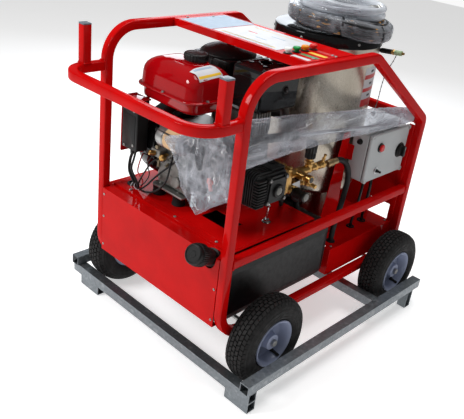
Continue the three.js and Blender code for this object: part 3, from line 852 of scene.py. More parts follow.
def make_cross_tubes():
    """The two tubes that join the side frames at the rear."""
    for level, z in (("lower", 402), ("upper", 773)):
        bm = bmesh.new()
        y = REAR - HALF
        swept(bm, [Vector((-305, y, z)), Vector((305, y, z))], SECTION, normal=Y)
        for sign in (-1, 1):
            weld_ring(bm, (sign * 304.5, y, z), X * sign, HALF, seed=z + sign)
        piece(f"cross_tube_{level}", bm, "red_enamel", f"rear_cross_tube_{level}")


def make_handle():
    """The push handle: a U of tube off the front posts, with two capped uprights on it."""
    x, y, z = FRAME_OUTER - HALF, HANDLE_FRONT + HALF, 942
    post_y, post_top = -540, 1082
    bm = bmesh.new()
    path = fillet([(-x, FRONT - 0.4, z), (-x, y, z), (x, y, z), (x, FRONT - 0.4, z)], 84)
    swept(bm, path, SECTION, normal=Z)
    for sign in (-1, 1):
        foot, top = ((sign * x, post_y, level) for level in (z + HALF + 0.2, post_top))
        swept(bm, [Vector(foot), Vector(top)], SECTION, normal=X)
        weld_ring(bm, (sign * x, post_y, z + HALF + 0.8), Z, HALF, seed=11 + sign)
        weld_ring(bm, (sign * x, FRONT - 1, z), Y, HALF, seed=21 + sign)
    piece("push_handle", bm, "red_enamel", "handle_bar", smooth=50)
    for side, sign in (("left", -1), ("right", 1)):
        caps = bmesh.new()
        low = (sign * x - HALF, post_y - HALF, post_top + 0.3)
        pad(caps, low, (low[0] + TUBE, low[1] + TUBE, post_top + 5.3), 4.5, edge=1.6)
        piece(f"tube_cap_{side}", caps, "cap_plastic", f"upright_cap_{side}")


make_side_frames()
make_cross_tubes()
make_handle()


# ---- shipping skid ----

for skid in ("skid_rail_left", "skid_rail_right", "skid_crossbar_front", "skid_crossbar_middle"):
    dress(skid, "galvanised", edge=2.2)


# ---- wheels ----

TYRE_R, BEAD_R = 163, 89
TYRE_IN, TYRE_OUT = 341, 442
AXLES = {"front": -286, "rear": 482}


def crown(across):
    """The tyre's radius at a distance from its middle plane."""
    return TYRE_R - 6.2 - 15 * abs(across / 46) ** 3


def tyre_carcass(bm, at, axis):
    """The tyre's body: rounded tread, bulging sidewalls with moulded rings, and beads at the rim."""
    width = (TYRE_OUT - TYRE_IN) / 2
    outer = [(a, crown(a)) for a in (-40, -30, -18, -6, 6, 18, 30, 40)]
    wall = [(45.5, 143), (48.6, 134), (50.1, 124), (49.2, 121.6), (50.4, 119.5), (50.2, 112),
            (48.6, 109.6), (49.4, 107), (46.5, 99), (41, 92.5), (37.5, BEAD_R + 0.4)]
    profile = [(-a, r) for a, r in reversed(wall)] + outer + wall
    u, v, w = basis(axis)
    middle = Vector(at) + w * width
    rings = [[middle + w * a + out * r for a, r in profile] for out, _ in around(72, 0, u, v)]
    skin(bm, rings, closed=True)


def tread_blocks(bm, at, axis):
    """Staggered rows of small turf-tread blocks, each with a top narrower than its foot."""
    width = (TYRE_OUT - TYRE_IN) / 2
    u, v, w = basis(axis)
    middle = Vector(at) + w * width
    rows = ((-43, 15, 9.0), (-29, 12.5, 9.0), (-14.5, 12.5, 8.6), (0, 12.5, 8.6), (14.5, 12.5, 8.6),
            (29, 12.5, 9.0), (43, 15, 9.0))
    count = 52
    for row, (across, wide, long) in enumerate(rows):
        for k in range(count):
            angle = math.tau * (k + 0.5 * (row % 2)) / count
            out = math.cos(angle) * u + math.sin(angle) * v
            round_it = w.cross(out)
            slant = 0.22 if row % 2 else -0.22
            rings = []
            for lift, shrink in ((-3.5, 1.0), (5.4, 0.92), (6.2, 0.8)):
                ring = []
                for a, b in CORNERS:
                    over = across + a * wide / 2 * shrink
                    reach = crown(max(-46, min(46, over))) - (14 if abs(over) > 46 else 0) + lift
                    along = (b + slant * a) * long * shrink
                    spot = (out * reach + round_it * along).normalized() * reach
                    ring.append(middle + w * max(-50.2, min(50.2, over)) + spot)
                rings.append(ring)
            skin(bm, rings)


def rim_shape(bm, at, axis):
    """A pressed dished rim: rolled lip, drop centre, stepped disc and hub."""
    profile = [(7, 88.6), (12, 88.6), (14, 84), (30, 74), (64, 74), (80, 80), (86, 84), (91, 88.6),
               (94.5, 88.2), (96, 85), (92, 80), (84, 76), (66, 71.5), (56, 68), (51, 60), (50, 46),
               (53, 38), (60, 33), (70, 30), (84, 28.5), (85.4, 26), (85.4, 13), (84, 0)]
    turned(bm, profile, at, axis, 64)


def make_wheels():
    """Four wheels that turn on two axle rods, each with its tyre, rim and rubber valve stem."""
    for side, sign in (("left", -1), ("right", 1)):
        for end, y in AXLES.items():
            axis = X * sign
            at = (sign * TYRE_IN, y, TYRE_R)
            body = f"wheel_{end}_{side}"
            rubber = bmesh.new()
            tyre_carcass(rubber, at, axis)
            tread_blocks(rubber, at, axis)
            piece(f"turf_tyre_{end}_{side}", rubber, "tyre_rubber", f"tyre_{end}_{side}",
                  body=body, smooth=30)
            rim = bmesh.new()
            rim_shape(rim, at, axis)
            piece(f"pressed_rim_{end}_{side}", rim, "rim_enamel", f"rim_{end}_{side}",
                  body=body)
            stem = bmesh.new()
            foot = Vector(at) + Vector((sign * 62, 28, -58))
            lean = Vector((sign * 1.0, 0.2, -0.32)).normalized()
            turned(stem, [(0, 8), (4, 7), (8, 5.6), (24, 4.6), (24.5, 5.4), (34, 5.2), (35, 4.4)],
                   foot, lean, 16)
            piece(f"valve_{end}_{side}", stem, "mount_rubber", body=body)
    for end in AXLES:
        dress(f"axle_{end}", "steel", edge=0.6)


make_wheels()


# ---- sheet metal ----

DECK = 500
NOZZLES = {"white": -160, "green": -118, "yellow": -76, "red": -34}
NOZZLE_X = 206


def make_sheet_metal():
    """The folded sheets, with their seams, screws and cable grommets."""
    for panel in ("front_panel", "rear_panel", "engine_deck", "boiler_shelf", "control_bracket",
                  "instrument_tray"):
        dress(panel, "red_enamel", edge=1.8)
    seams = bmesh.new()
    plate(seams, [(-305, -392), (305, -392), (305, -388.5), (-305, -388.5)], 2, DECK, DECK + 1.2)
    fold = fillet([(x, y, DECK + 0.4) for x, y in ((-295, -12), (296, -12), (296, -384))], 14)
    swept(seams, fold, rounded_rect(3.4, 1.2, 0.5, 2), normal=Z)
    for x0, x1 in ((-310, -286), (286, 310)):
        pad(seams, (x0, 577, 206), (x1, 584, 750), 2, 2)
    pad(seams, (-300, 577, 317), (189, 581, 320.5), 1, 2)
    piece("deck_folds", seams, "red_enamel")
    screws = bmesh.new()
    for x in (-225, 20, 225):
        button_screw(screws, (x, -405, DECK), Z, 5.5)
    for x, y in ((-298, -125), (-277, -18), (299, -35)):
        button_screw(screws, (x, y, TOP), Z, 5)
    for x in (-290, 290):
        for y in (176, 560):
            button_screw(screws, (x, y, 318), Z, 5.5)
    for x in (-296, 296):
        for z in (262, 380, 470):
            if (x, z) != (296, 470):
                button_screw(screws, (x, FRONT, z), -Y, 4.5)
    piece("sheet_screws", screws, "steel")
    grommets = bmesh.new()
    for x, y, z, r in ((-262, -366, DECK + 1, 17), (234, 383, 319, 13), (229, 470, 319, 15),
                       (262, 211, 319, 14)):
        circle = [Vector((x + a, y + b, z)) for a, b in ring_of(r, 28)]
        swept(grommets, circle, ring_of(4.4, 10), normal=Z, closed=True)
    piece("grommets", grommets, "mount_rubber")


def make_instrument_labels():
    """The tray's blank instruction sheet, and a colour band beside each spray nozzle."""
    sheet = TOP + 0.5
    patches = [((-283, -172, TOP), (-128, 48, sheet), "blue_print"),
               ((-122, -166, TOP), (164, 34, sheet), "white_print")]
    patches += [((-100 + i, -150, sheet), (144 - i, -146 + i / 4, sheet + 0.2),
                 "yellow_print") for i in (0, 12)]
    for colour, y in NOZZLES.items():
        patches.append(((226, y - 10, TOP), (293, y + 9, sheet), f"{colour}_print"))
    for x0, y0, x1, y1, kind in ((-90, 6, 120, 9, "yellow"), (-60, -60, -20, -52, "red"),
                                 (10, -100, 60, -93, "blue"), (30, -40, 90, -34, "blue")):
        patches.append(((x0, y0, sheet), (x1, y1, sheet + 0.2), f"{kind}_print"))
    kinds = sorted({kind for _, _, kind in patches})
    bm = bmesh.new()
    for low, high, kind in patches:
        pad(bm, low, high, 2, kinds.index(kind))
    piece("instrument_sheet", bm, kinds)
    collars = bmesh.new()
    ring = [(0, 8.6), (0, 15), (2.4, 14.4), (3, 12.6), (3, 8.6), (0, 8.6)]
    for y in NOZZLES.values():
        turned(collars, ring, (NOZZLE_X, y, TOP + 0.2), Z, 24)
    piece("nozzle_grommets", collars, "mount_rubber")


def make_nozzles():
    """Quick-connect spray nozzles: a stainless stem under a moulded, fluted colour cap."""
    for colour, y in NOZZLES.items():
        paint = "nozzle_orange" if colour == "yellow" else f"nozzle_{colour}"
        bm = bmesh.new()
        at = (NOZZLE_X, y, TOP)
        stem = [(-14, 3.2), (-12, 5), (-6, 5), (-5, 4.2), (-3.6, 4.2), (-2.4, 5.4), (3, 5.4)]
        turned(bm, stem, at, Z, 24, 1)
        cap = [(1.2, 7), (2.2, 7.4), (7.5, 7.8), (9.5, 11.6), (11, 12.8), (15, 12.8), (17, 11.4),
               (18.4, 8), (18.6, 3)]
        turned(bm, cap, at, Z, 60, 0, flutes=15, depth=0.8)
        piece(f"spray_nozzle_cap_{colour}", bm, [paint, "chrome"], f"nozzle_{colour}",
              body=f"spray_nozzle_{colour}")


make_sheet_metal()
make_instrument_labels()
make_nozzles()


# ---- water tank and filler ----

NECK_ELBOW = Vector((256.7, -458, 478.5))
NECK_AXIS = Vector((0, -0.902, 0.432)).normalized()


def make_tank():
    """The tank's knurled filler cap, and the collars on its neck."""
    dress("water_tank", "tank_plastic", edge=2.5)
    bm = bmesh.new()
    start = NECK_ELBOW + NECK_AXIS * 48.3
    ring = [(0, 35.4), (1.4, 37.4), (24, 37.4), (27, 36.2), (28, 34.6), (28.2, 0)]
    turned(bm, ring, start, NECK_AXIS, 144, flutes=36, depth=1.6)
    face = [(28.4, 34), (38, 33.6), (41.6, 32), (43, 29.6), (43, 27.4), (40.4, 26.2), (40.4, 12),
            (41.4, 11)]
    turned(bm, face, start, NECK_AXIS, 64)
    piece("knurled_filler_cap", bm, "ribbed_black", "filler_cap", body="tank_filler_cap")
    collar = bmesh.new()
    turned(collar, [(8, 24.3), (8, 27), (12, 29), (44, 29), (46, 27), (46, 24.3), (8, 24.3)],
           NECK_ELBOW, NECK_AXIS, 48)
    turned(collar, [(-6, 24.3), (-6, 30.5), (-1, 31.5), (4, 30.5), (4, 24.3), (-6, 24.3)],
           NECK_ELBOW, Vector((0, -1, 1)), 48)
    piece("filler_neck_collars", collar, "ribbed_black")


make_tank()


# ---- boiler ----

DRUM_R = 200.5


def drum_patch(bm, low_angle, high_angle, z0, z1, mat=0, lift=0.4):
    """A thin patch wrapped on the drum, between two angles in degrees."""
    rings = []
    for z in (z0, z1):
        ring = []
        for radius, order in ((DRUM_R, range(9)), (DRUM_R + lift, range(8, -1, -1))):
            for k in order:
                a = math.radians(low_angle + (high_angle - low_angle) * k / 8)
                ring.append((BOILER[0] + radius * math.cos(a), BOILER[1] + radius * math.sin(a), z))
        rings.append(ring)
    skin(bm, rings, mat)


def make_boiler():
    """The stainless drum on its foot ring, its lid, the screws of both, and its blank label."""
    at = (*BOILER, 0)
    drum = bmesh.new()
    profile = [(318.3, 150), (322, 151), (466, 151), (470, 152), (486, 190), (496, 199.4),
               (500, DRUM_R), (504, DRUM_R), (700, DRUM_R), (1049, DRUM_R), (1082, DRUM_R)]
    turned(drum, profile, at, Z, 128)
    for a in (38, 158, 278):
        drum_patch(drum, a, a + 4, 503, 1050, lift=0.9)
    piece("drum_shell", drum, "stainless", "boiler_drum")
    lid = bmesh.new()
    rim = [(1082.3, 200.9), (1053, 200.9), (1052, 202), (1052, 204.6), (1054, 205.4), (1058, 204.2),
           (1086, 204.2), (1089.6, 203), (1091.6, 199.6), (1092, 196), (1092, 150), (1091.4, 146),
           (1091.4, 40), (1092, 36)]
    turned(lid, rim, at, Z, 128)
    piece("drum_lid", lid, "black_enamel", "boiler_lid")
    fixings = bmesh.new()
    for out, _ in around(6, math.radians(-21), X, Y):
        button_screw(fixings, Vector((*BOILER, 1071)) + out * 204.2, out, 5.2)
    seam = Vector((math.cos(math.radians(160)), math.sin(math.radians(160)), 0))
    for z in range(520, 1027, 46):
        button_screw(fixings, Vector((*BOILER, z)) + seam * 201.2, seam, 3)
    piece("drum_screws", fixings, "steel")
    label = bmesh.new()
    drum_patch(label, -2, 27, 834, 982, 0)
    for z0, z1 in ((834, 862), (891, 905), (939, 955)):
        drum_patch(label, -1.6, 26.6, z0, z1, 1, 0.7)
    for z in (872, 917, 963):
        drum_patch(label, 9, 16, z, z + 8, 2, 0.8)
    piece("drum_labels", label, ["white_print", "red_print", "gun_plastic"])


def make_boiler_outlet():
    """The boiler's outlet pipe under the lid, with a quick coupling, and the sensor wire below it."""
    bm = bmesh.new()
    axis = Vector((99, 0, 10)).normalized()
    start = Vector((150, 451, 1024.6))
    turned(bm, [(0, 7), (14, 7)], start, axis, 24, 2)
    sleeve = [(14, 8.4), (17, 9.6)]
    for k in range(5):
        sleeve += [(19 + 8 * k, 9.6), (20 + 8 * k, 8.6), (23 + 8 * k, 8.6), (24 + 8 * k, 9.6)]
    turned(bm, sleeve + [(60, 9.4), (62, 8)], start, axis, 32, 0)
    hexagon(bm, start + axis * 62, axis, 10.5, 11, 1)
    turned(bm, [(0, 8.4), (3, 9.6), (18, 9.6), (19, 8.8), (21, 8.8), (22, 9.8), (30, 9.4), (31, 7)],
           start + axis * 73, axis, 32, 3)
    turned(bm, [(0, 5), (9, 4.6)], start + axis * 104, axis, 24, 1)
    piece("boiler_outlet", bm, ["ribbed_black", "brass", "steel", "pale_green"])
    wire = [(232, 451, 1024), (227, 447, 1000), (211, 443, 955), (205, 440, 905), (207, 432, 850),
            (208, 420, 799)]
    cable("sensor_wire", wire, 3.0, "wire_steel")
    beads = bmesh.new()
    line = smooth_line(wire, 9)
    for a, b in zip(line[1:-1:2], line[2::2]):
        turned(beads, [(-2.2, 1.8), (0, 2.7), (2.2, 1.8)], a, b - a, 12)
    piece("sensor_wire_beads", beads, "wire_steel")
    clip = bmesh.new()
    pad(clip, (204, 408, 786), (214, 424, 800), 3, edge=1)
    piece("sensor_wire_clip", clip, "steel")


make_boiler()
make_boiler_outlet()


# ---- engine ----

SHAFT = (-225, 655)
MOUNTS = [(x, y) for x in (-152, -45) for y in (-332, -140)]
TANK_CAP = (-105, -250)
TANK_BOX = (-274, 16, -363, -163)
# The fuel tank's outline at each height: (height, inset from its box, corner radius).
TANK_LEVELS = ((842, 20, 34), (843, 14, 38), (847, 9, 41), (856, 7, 43), (882, 6, 44), (884, 5, 44),
               (884, -8, 50), (885, -9, 51), (889, -9, 51), (890, -8, 50), (891.5, 0, 44), (896, 1, 44),
               (932, 3, 43), (948, 6, 42), (960, 12, 40), (970, 22, 36), (978, 35, 30), (983, 52, 24),
               (985, 72, 18))


def draped(bm, corners, height, mat=0, lift=0.5):
    """A thin patch laid over a surface. corners are four (x, y) points, and height gives z there."""
    (ax, ay), (bx, by), (cx, cy), (dx, dy) = corners
    steps = 10
    lower_rim = []
    for thick in (0, 1):
        grid = []
        for i in range(steps + 1):
            row = []
            for j in range(steps + 1):
                s, t = i / steps, j / steps
                x = (ax * (1 - s) + bx * s) * (1 - t) + (dx * (1 - s) + cx * s) * t
                y = (ay * (1 - s) + by * s) * (1 - t) + (dy * (1 - s) + cy * s) * t
                row.append(bm.verts.new((x, y, height(x, y) + lift * thick)))
            grid.append(row)
        rim = grid[0] + [r[-1] for r in grid[1:-1]] + grid[-1][::-1] + [r[0] for r in grid[-2:0:-1]]
        for i in range(steps):
            for j in range(steps):
                face = bm.faces.new((grid[i][j], grid[i + 1][j], grid[i + 1][j + 1], grid[i][j + 1]))
                face.material_index, face.smooth = mat, True
        if thick:
            for k, (a, b) in enumerate(zip(lower_rim, rim)):
                n = (k + 1) % len(rim)
                bm.faces.new((a, lower_rim[n], rim[n], b)).material_index = mat
        lower_rim = rim


def tank_top(x, y):
    """The height of the fuel tank's upper skin above a point of its plan."""
    x0, x1, y0, y1 = TANK_BOX
    inset = min(x - x0, x1 - x, y - y0, y1 - y)
    upper = [(i, z) for z, i, _ in TANK_LEVELS if z > 890]
    for (i0, z0), (i1, z1) in zip(upper, upper[1:]):
        if inset <= i1:
            return z0 + (z1 - z0) * (inset - i0) / (i1 - i0)
    return upper[-1][1]


def make_fuel_tank():
    """The tank with its seam, its blank label, its fluted cap, and the bolts of its flange."""
    x0, x1, y0, y1 = TANK_BOX
    cx, cy = (x0 + x1) / 2, (y0 + y1) / 2
    bm = bmesh.new()
    rings = []
    for z, inset, radius in TANK_LEVELS:
        outline = rounded_rect(x1 - x0 - 2 * inset, y1 - y0 - 2 * inset, radius, 8)
        rings.append([(cx + a, cy + b, z) for a, b in outline])
    skin(bm, rings)
    turned(bm, [(983, 47), (986, 45), (988, 37), (989, 34), (992, 33)], (*TANK_CAP, 0), Z, 64)
    piece("tank_shell", bm, "red_tank_enamel", "fuel_tank", smooth=50)
    label = bmesh.new()
    draped(label, [(-46, -330), (6, -330), (2, -222), (-58, -226)], tank_top, 0)
    draped(label, [(-6, -326), (1, -326), (-3, -226), (-10, -227)], tank_top, 1, 0.8)
    draped(label, [(-42, -322), (-30, -322), (-34, -240), (-46, -242)], tank_top, 2, 0.8)
    piece("tank_label", label, ["white_print", "yellow_print", "blue_print"])
    cap = bmesh.new()
    profile = [(992.3, 38), (994, 41), (998, 42), (1011, 42), (1014, 41), (1016.5, 38), (1017.4, 34),
               (1016.4, 31), (1018.2, 26), (1019, 0)]
    turned(cap, profile, (*TANK_CAP, 0), Z, 144, flutes=24, depth=1.5)
    piece("fuel_cap_cover", cap, "black_plastic", "fuel_cap", body="fuel_filler_cap",
          smooth=45)
    bolts = bmesh.new()
    for x, y in ((x0 - 2, -300), (x1 + 2, -300), (cx, y0 - 2), (cx, y1 + 2)):
        bolt(bolts, (x, y, 890), Z, 5)
    piece("tank_bolts", bolts, "steel")


def make_air_cleaner():
    """The air cleaner's box under a round domed cover, held by a wing nut."""
    bm = bmesh.new()
    pad(bm, (-242, -148, 905), (-50, 42, 986), 26, edge=5)
    at = (-148, -52, 0)
    dome = [(978, 97), (984, 97), (985, 101), (990, 102), (993, 100), (995, 97), (999, 93), (1005, 84),
            (1011, 68), (1016, 48), (1019, 28), (1020, 14)]
    turned(bm, dome, at, Z, 96)
    for out, _ in around(8, 0.2, X, Y):
        turned(bm, [(0, 6), (15, 5), (16, 4)], Vector((at[0], at[1], 980)) + 95 * out, Z, 16)
    for k in range(5):
        x = -220 + 36 * k
        pad(bm, (x, -150.5, 912), (x + 18, -146, 976), 3, axis=1, edge=0.8)
    turned(bm, [(0, 27), (30, 27), (36, 22), (62, 22)], (-50, -66, 945), Vector((1, 0, -0.35)), 32)
    piece("air_cleaner_cover", bm, "black_plastic", "air_cleaner", bevel=0.6)
    nut = bmesh.new()
    turned(nut, [(1019, 9), (1021, 9), (1021, 6.5), (1031, 5.6), (1034, 3.4), (1036, 3)], at, Z, 24)
    for sign in (-1, 1):
        wing = [(sign * 4, 1023), (sign * 14, 1027), (sign * 19, 1033), (sign * 16, 1036.5),
                (sign * 9, 1033), (sign * 4, 1031)]
        plate(nut, [(at[0] + a, z) for a, z in wing], 1, -53.4, -50.6)
    piece("wing_nut", nut, "dark_steel", bevel=0.5)


def make_muffler():
    """The silencer's pressed guard, its bolts, and the exhaust pipe from the cylinder, with a black sheet
    of painted shade behind the engine.
    """
    dress("muffler_guard", "black_enamel", edge=3, flat=3)
    bm = bmesh.new()
    top = 1016
    turned(bm, [(0, 20.4), (0, 25), (1.6, 24.4), (2.2, 22.4), (1.6, 20.6), (0, 20.4)], (84, -112, top), Z,
           40)
    for sx, sy in CORNERS:
        x, y = 84 + sx * 32, -112 + sy * 37
        pad(bm, (x - 8, y - 9, top), (x + 8, y + 9, top + 1.8), 6, edge=0.8)
    pad(bm, (36, -206, top), (40, -34, top + 1.5), 1.5, edge=0.5)
    for y in range(-193, -52, 28):
        for z in (890, 990):
            pad(bm, (167.5, y, z), (169.4, y + 8, z + 8), 3, axis=0, edge=0.6)
    for z in (892, 984):
        pad(bm, (44, -213.6, z), (156, -211.6, z + 4), 1.5, axis=1, edge=0.6)
    turned(bm, [(0, 12), (2, 11), (3, 8)], (168, -96, 944), X, 32)
    turned(bm, [(0, 15), (0, 19), (1.2, 18), (1.2, 16), (0, 15)], (168, -96, 944), X, 40)
    # A black sheet in a gap by the engine, no part of the machine: painted shade where the floor would
    # show through.
    pad(bm, (-70, -4, 590), (50, 4, 700), 10, axis=1)
    piece("guard_pressings_and_shade_sheet", bm, "black_enamel")
    bolts = bmesh.new()
    bolt(bolts, (171, -96, 944), X, 6.5)
    for x, y in ((44, -198), (154, -198), (154, -40), (44, -40)):
        bolt(bolts, (x, y, top), Z, 5)
    piece("guard_bolts", bolts, "dark_steel")
    pipe = bmesh.new()
    path = fillet([(-20, 24, 790), (-20, 60, 790), (60, 60, 800), (90, 10, 850), (90, -30, 876)], 24)
    swept(pipe, path, ring_of(17, 24))
    pad(pipe, (-52, 18, 764), (12, 27, 816), 6, axis=1, edge=1.2)
    for x in (-42, 2):
        bolt(pipe, (x, 27, 790), Y, 6)
    piece("exhaust_pipe", pipe, "dark_steel")


def make_fan_housing():
    """The recoil starter's pressed cover, with its cooling slots, screws and pull grip."""
    bm = bmesh.new()
    at = (-160.3, SHAFT[0], 672)
    profile = [(0, 130), (3, 136), (8, 138), (84, 138), (92, 134), (100, 118), (106, 108), (112, 104),
               (124, 100), (130, 92), (134, 70), (134, 30), (131, 24)]
    turned(bm, profile, at, -X, 96)
    middle = Vector(at) - X * 134
    for out, round_it in around(16, math.pi / 16):
        rings = []
        for rise, grow in ((0, 1.0), (1.6, 0.9), (2.4, 0.6)):
            rings.append([middle - X * rise + out * (64 + r * grow) + round_it * t * grow
                          for r, t in ((-22, -3), (22, -5.5), (22, 5.5), (-22, 3))])
        skin(bm, rings)
    for out, round_it in around(12, 0.13):
        rings = []
        for rise, grow in ((0, 1.0), (2.0, 0.8)):
            centre = Vector(at) - X * 46 + out * (137.4 + rise)
            rings.append([centre + X * s * 26 * grow + round_it * t * 5 * grow for s, t in CORNERS])
        skin(bm, rings)
    piece("recoil_cover", bm, "black_enamel", "fan_housing", smooth=30)
    bolts = bmesh.new()
    for out, _ in around(4, 0.6):
        bolt(bolts, Vector(at) - X * 104 + 110 * out, -X, 5)
    turned(bolts, [(0, 20), (2, 22), (4, 20), (5, 8)], Vector(at) - X * 131, -X, 32)
    piece("recoil_bolts", bolts, "steel")
    grip = bmesh.new()
    hold = Vector(at) + Vector((-84, 96, 88))
    turned(grip, [(0, 8), (4, 10), (16, 8), (20, 8), (22, 0)], hold, Vector((-0.5, 0.5, 0.6)), 24)
    swept(grip, [hold + Vector((-26, -14, 26)), hold + Vector((-11, 11, 13)), hold + Vector((2, 34, 0))],
          ring_of(6.5, 16))
    piece("recoil_grip", grip, "black_plastic")


def make_engine_block():
    """The block's covers, fins and bolts, and what it stands on: two rails on four rubber mounts."""
    dress("engine_block", "cast_alloy", edge=2.5, flat=2)
    bm = bmesh.new()
    pad(bm, (-140, -349, 566), (18, -344.8, 742), 18, axis=1, edge=1.5)
    for x in (-130, -62, 6):
        for z in (578, 654, 730):
            if (x, z) != (-62, 654):
                bolt(bm, (x, -349, z), -Y, 6.5)
    for k in range(5):
        z = 596 + 26 * k
        pad(bm, (-118, -351.5, z), (-74, -348.5, z + 5), 1.5, axis=1, edge=0.6)
    pad(bm, (-118, 29.5, 716), (8, 50, 820), 14, axis=1, edge=4)
    for x in (-106, -4):
        for z in (728, 808):
            bolt(bm, (x, 50, z), Y, 6)
    for k in range(7):
        y = -108 + 14 * k
        pad(bm, (-148, y, 706), (-128, y + 5, 822), 4, axis=1, edge=0.8)
    turned(bm, [(0, 20), (14, 20), (18, 16)], (-40, -345, 590), -Y, 24)
    bolt(bm, (0, -345, 568), -Y, 8)
    for out, _ in around(6):
        bolt(bm, Vector((86, *SHAFT)) + 66 * out, X, 6)
        turned(bm, [(0, 10), (38, 10), (46, 8)], Vector((40, *SHAFT)) + 66 * out, X, 16)
    piece("block_castings", bm, "cast_alloy")
    dip = bmesh.new()
    turned(dip, [(0, 12), (6, 14), (10, 14), (12, 10), (30, 8), (32, 0)], (-148, -322, 590),
           Vector((-0.3, -1, 0.7)), 24, flutes=8, depth=1.2)
    piece("oil_dipstick", dip, "black_plastic")
    plug = bmesh.new()
    start = Vector((-56, 50, 770))
    turned(plug, [(0, 8), (8, 8), (8, 5), (14, 5), (14, 9), (34, 10), (40, 8), (41, 0)], start,
           Vector((0, 1, 0.25)), 24)
    piece("spark_plug_cap", plug, "cable_black")
    base = bmesh.new()
    for y in (-334, -140):
        pad(base, (-158, y - 28, 540), (0, y + 28, 548), 5, edge=1.2)
    pad(base, (-130, -310, 540.5), (-70, -164, 547.5), 3, edge=1.2)
    for x, y in MOUNTS:
        bolt(base, (x + (10 if x < -100 else 0), y, 548), Z, 7.5, shank=7)
        turned(base, [(536, 24.5), (540, 24.5)], (x, y, 0), Z, 32)
    piece("engine_rails", base, "steel")
    mounts = bmesh.new()
    rubber = [(500.3, 25), (504, 25), (506, 23.6), (518, 22.6), (532, 23.6), (535.6, 24.4)]
    for x, y in MOUNTS:
        turned(mounts, rubber, (x, y, 0), Z, 40)
    piece("rubber_mounts", mounts, "mount_rubber", "engine_base")


def make_starter():
    """The electric starter across the block's front: bright nose, tan body, and a solenoid on top."""
    at = (-79, -408, 770)
    bm = bmesh.new()
    nose = [(0, 12), (3, 16), (8, 18), (10, 30), (14, 34), (20, 36), (44, 36), (46, 33), (50, 33)]
    turned(bm, nose, at, X, 48, 0)
    body = [(50.2, 34.4), (52, 35.2), (112, 35.2), (114, 34.4)]
    turned(bm, body, at, X, 64, 1)
    turned(bm, [(114.2, 36), (126, 36), (130, 32), (132, 12)], at, X, 48, 0)
    for a in (0.6, 2.4, 4.4):
        out = Vector((0, math.cos(a), math.sin(a)))
        turned(bm, [(12, 3.4), (118, 3.4)], Vector(at) + out * 33.5, X, 12, 2)
        bolt(bm, Vector(at) + out * 31 + X * 9, -X, 4.6, 2)
    pad(bm, (-67, -388, 742), (-15, -345.5, 796), 7, 0, edge=2)
    turned(bm, [(0, 15), (46, 15), (48, 12), (54, 12)], (-62, -368, 812), X, 32, 2)
    for y in (-376, -360):
        turned(bm, [(0, 3), (10, 3)], (-8, y, 812), X, 12, 3)
        hexagon(bm, (-6, y, 812), X, 5.4, 4, 3)
    piece("starter_body", bm, ["steel", "gasket_paper", "dark_steel", "brass"],
          "starter_motor")


def make_switch_box():
    """The ignition box: a black cover screwed to a red bracket, with the key switch in its end."""
    bm = bmesh.new()
    pad(bm, (-271.6, -419, 662), (-188, -368, 838), 5, 0, edge=2.5)
    pad(bm, (-262, -420.4, 676), (-198, -418.4, 790), 6, axis=1, edge=0.6)
    pad(bm, (-262, -420.4, 800), (-236, -418.4, 828), 4, axis=1, edge=0.6)
    pad(bm, (-277.2, -419, 640), (-272, -354, 846), 4, 1, axis=0, edge=1.2)
    pad(bm, (-277.2, -419, 838.4), (-196, -354, 843), 3, 1, edge=1.2)
    pad(bm, (-232, -368, 640), (-222, -340, 842), 3, 1, edge=1)
    for x, z in ((-206, 806), (-206, 682), (-254, 670)):
        button_screw(bm, (x, -420, z), -Y, 5, 2)
    turned(bm, [(0, 9), (26, 8), (28, 0)], (-240, -392, 662), -Z, 20, 0)
    turned(bm, [(0, 10), (0, 14.5), (2.4, 13.6), (2.4, 10), (0, 10)], (-277.3, -392, 742), -X, 32, 2)
    piece("ignition_box", bm, ["black_plastic", "red_tank_enamel", "steel"], "switch_box")
    key = bmesh.new()
    turned(key, [(0, 8.6), (3, 9), (10, 8.4), (12, 7.6), (12, 2), (13, 0)], (-277.6, -392, 742), -X, 32)
    plate(key, [(-297 + a * 10.8, 742 + b * 9.9) for a, b in ring_of(1, 20)], 1, -393.6, -390.4)
    piece("key_barrel", key, "chrome", "ignition_key", body="start_key", bevel=0.5)
    lever = bmesh.new()
    turned(lever, [(0, 10), (4.6, 10)], (12, -350.8, 704), Y, 24)
    pad(lever, (8, -350.4, 704), (16, -347, 738), 3, axis=1, edge=0.6)
    hexagon(lever, (12, -350.6, 704), -Y, 5, 1)
    piece("throttle_arm", lever, "dark_steel", "throttle_lever", body="throttle")


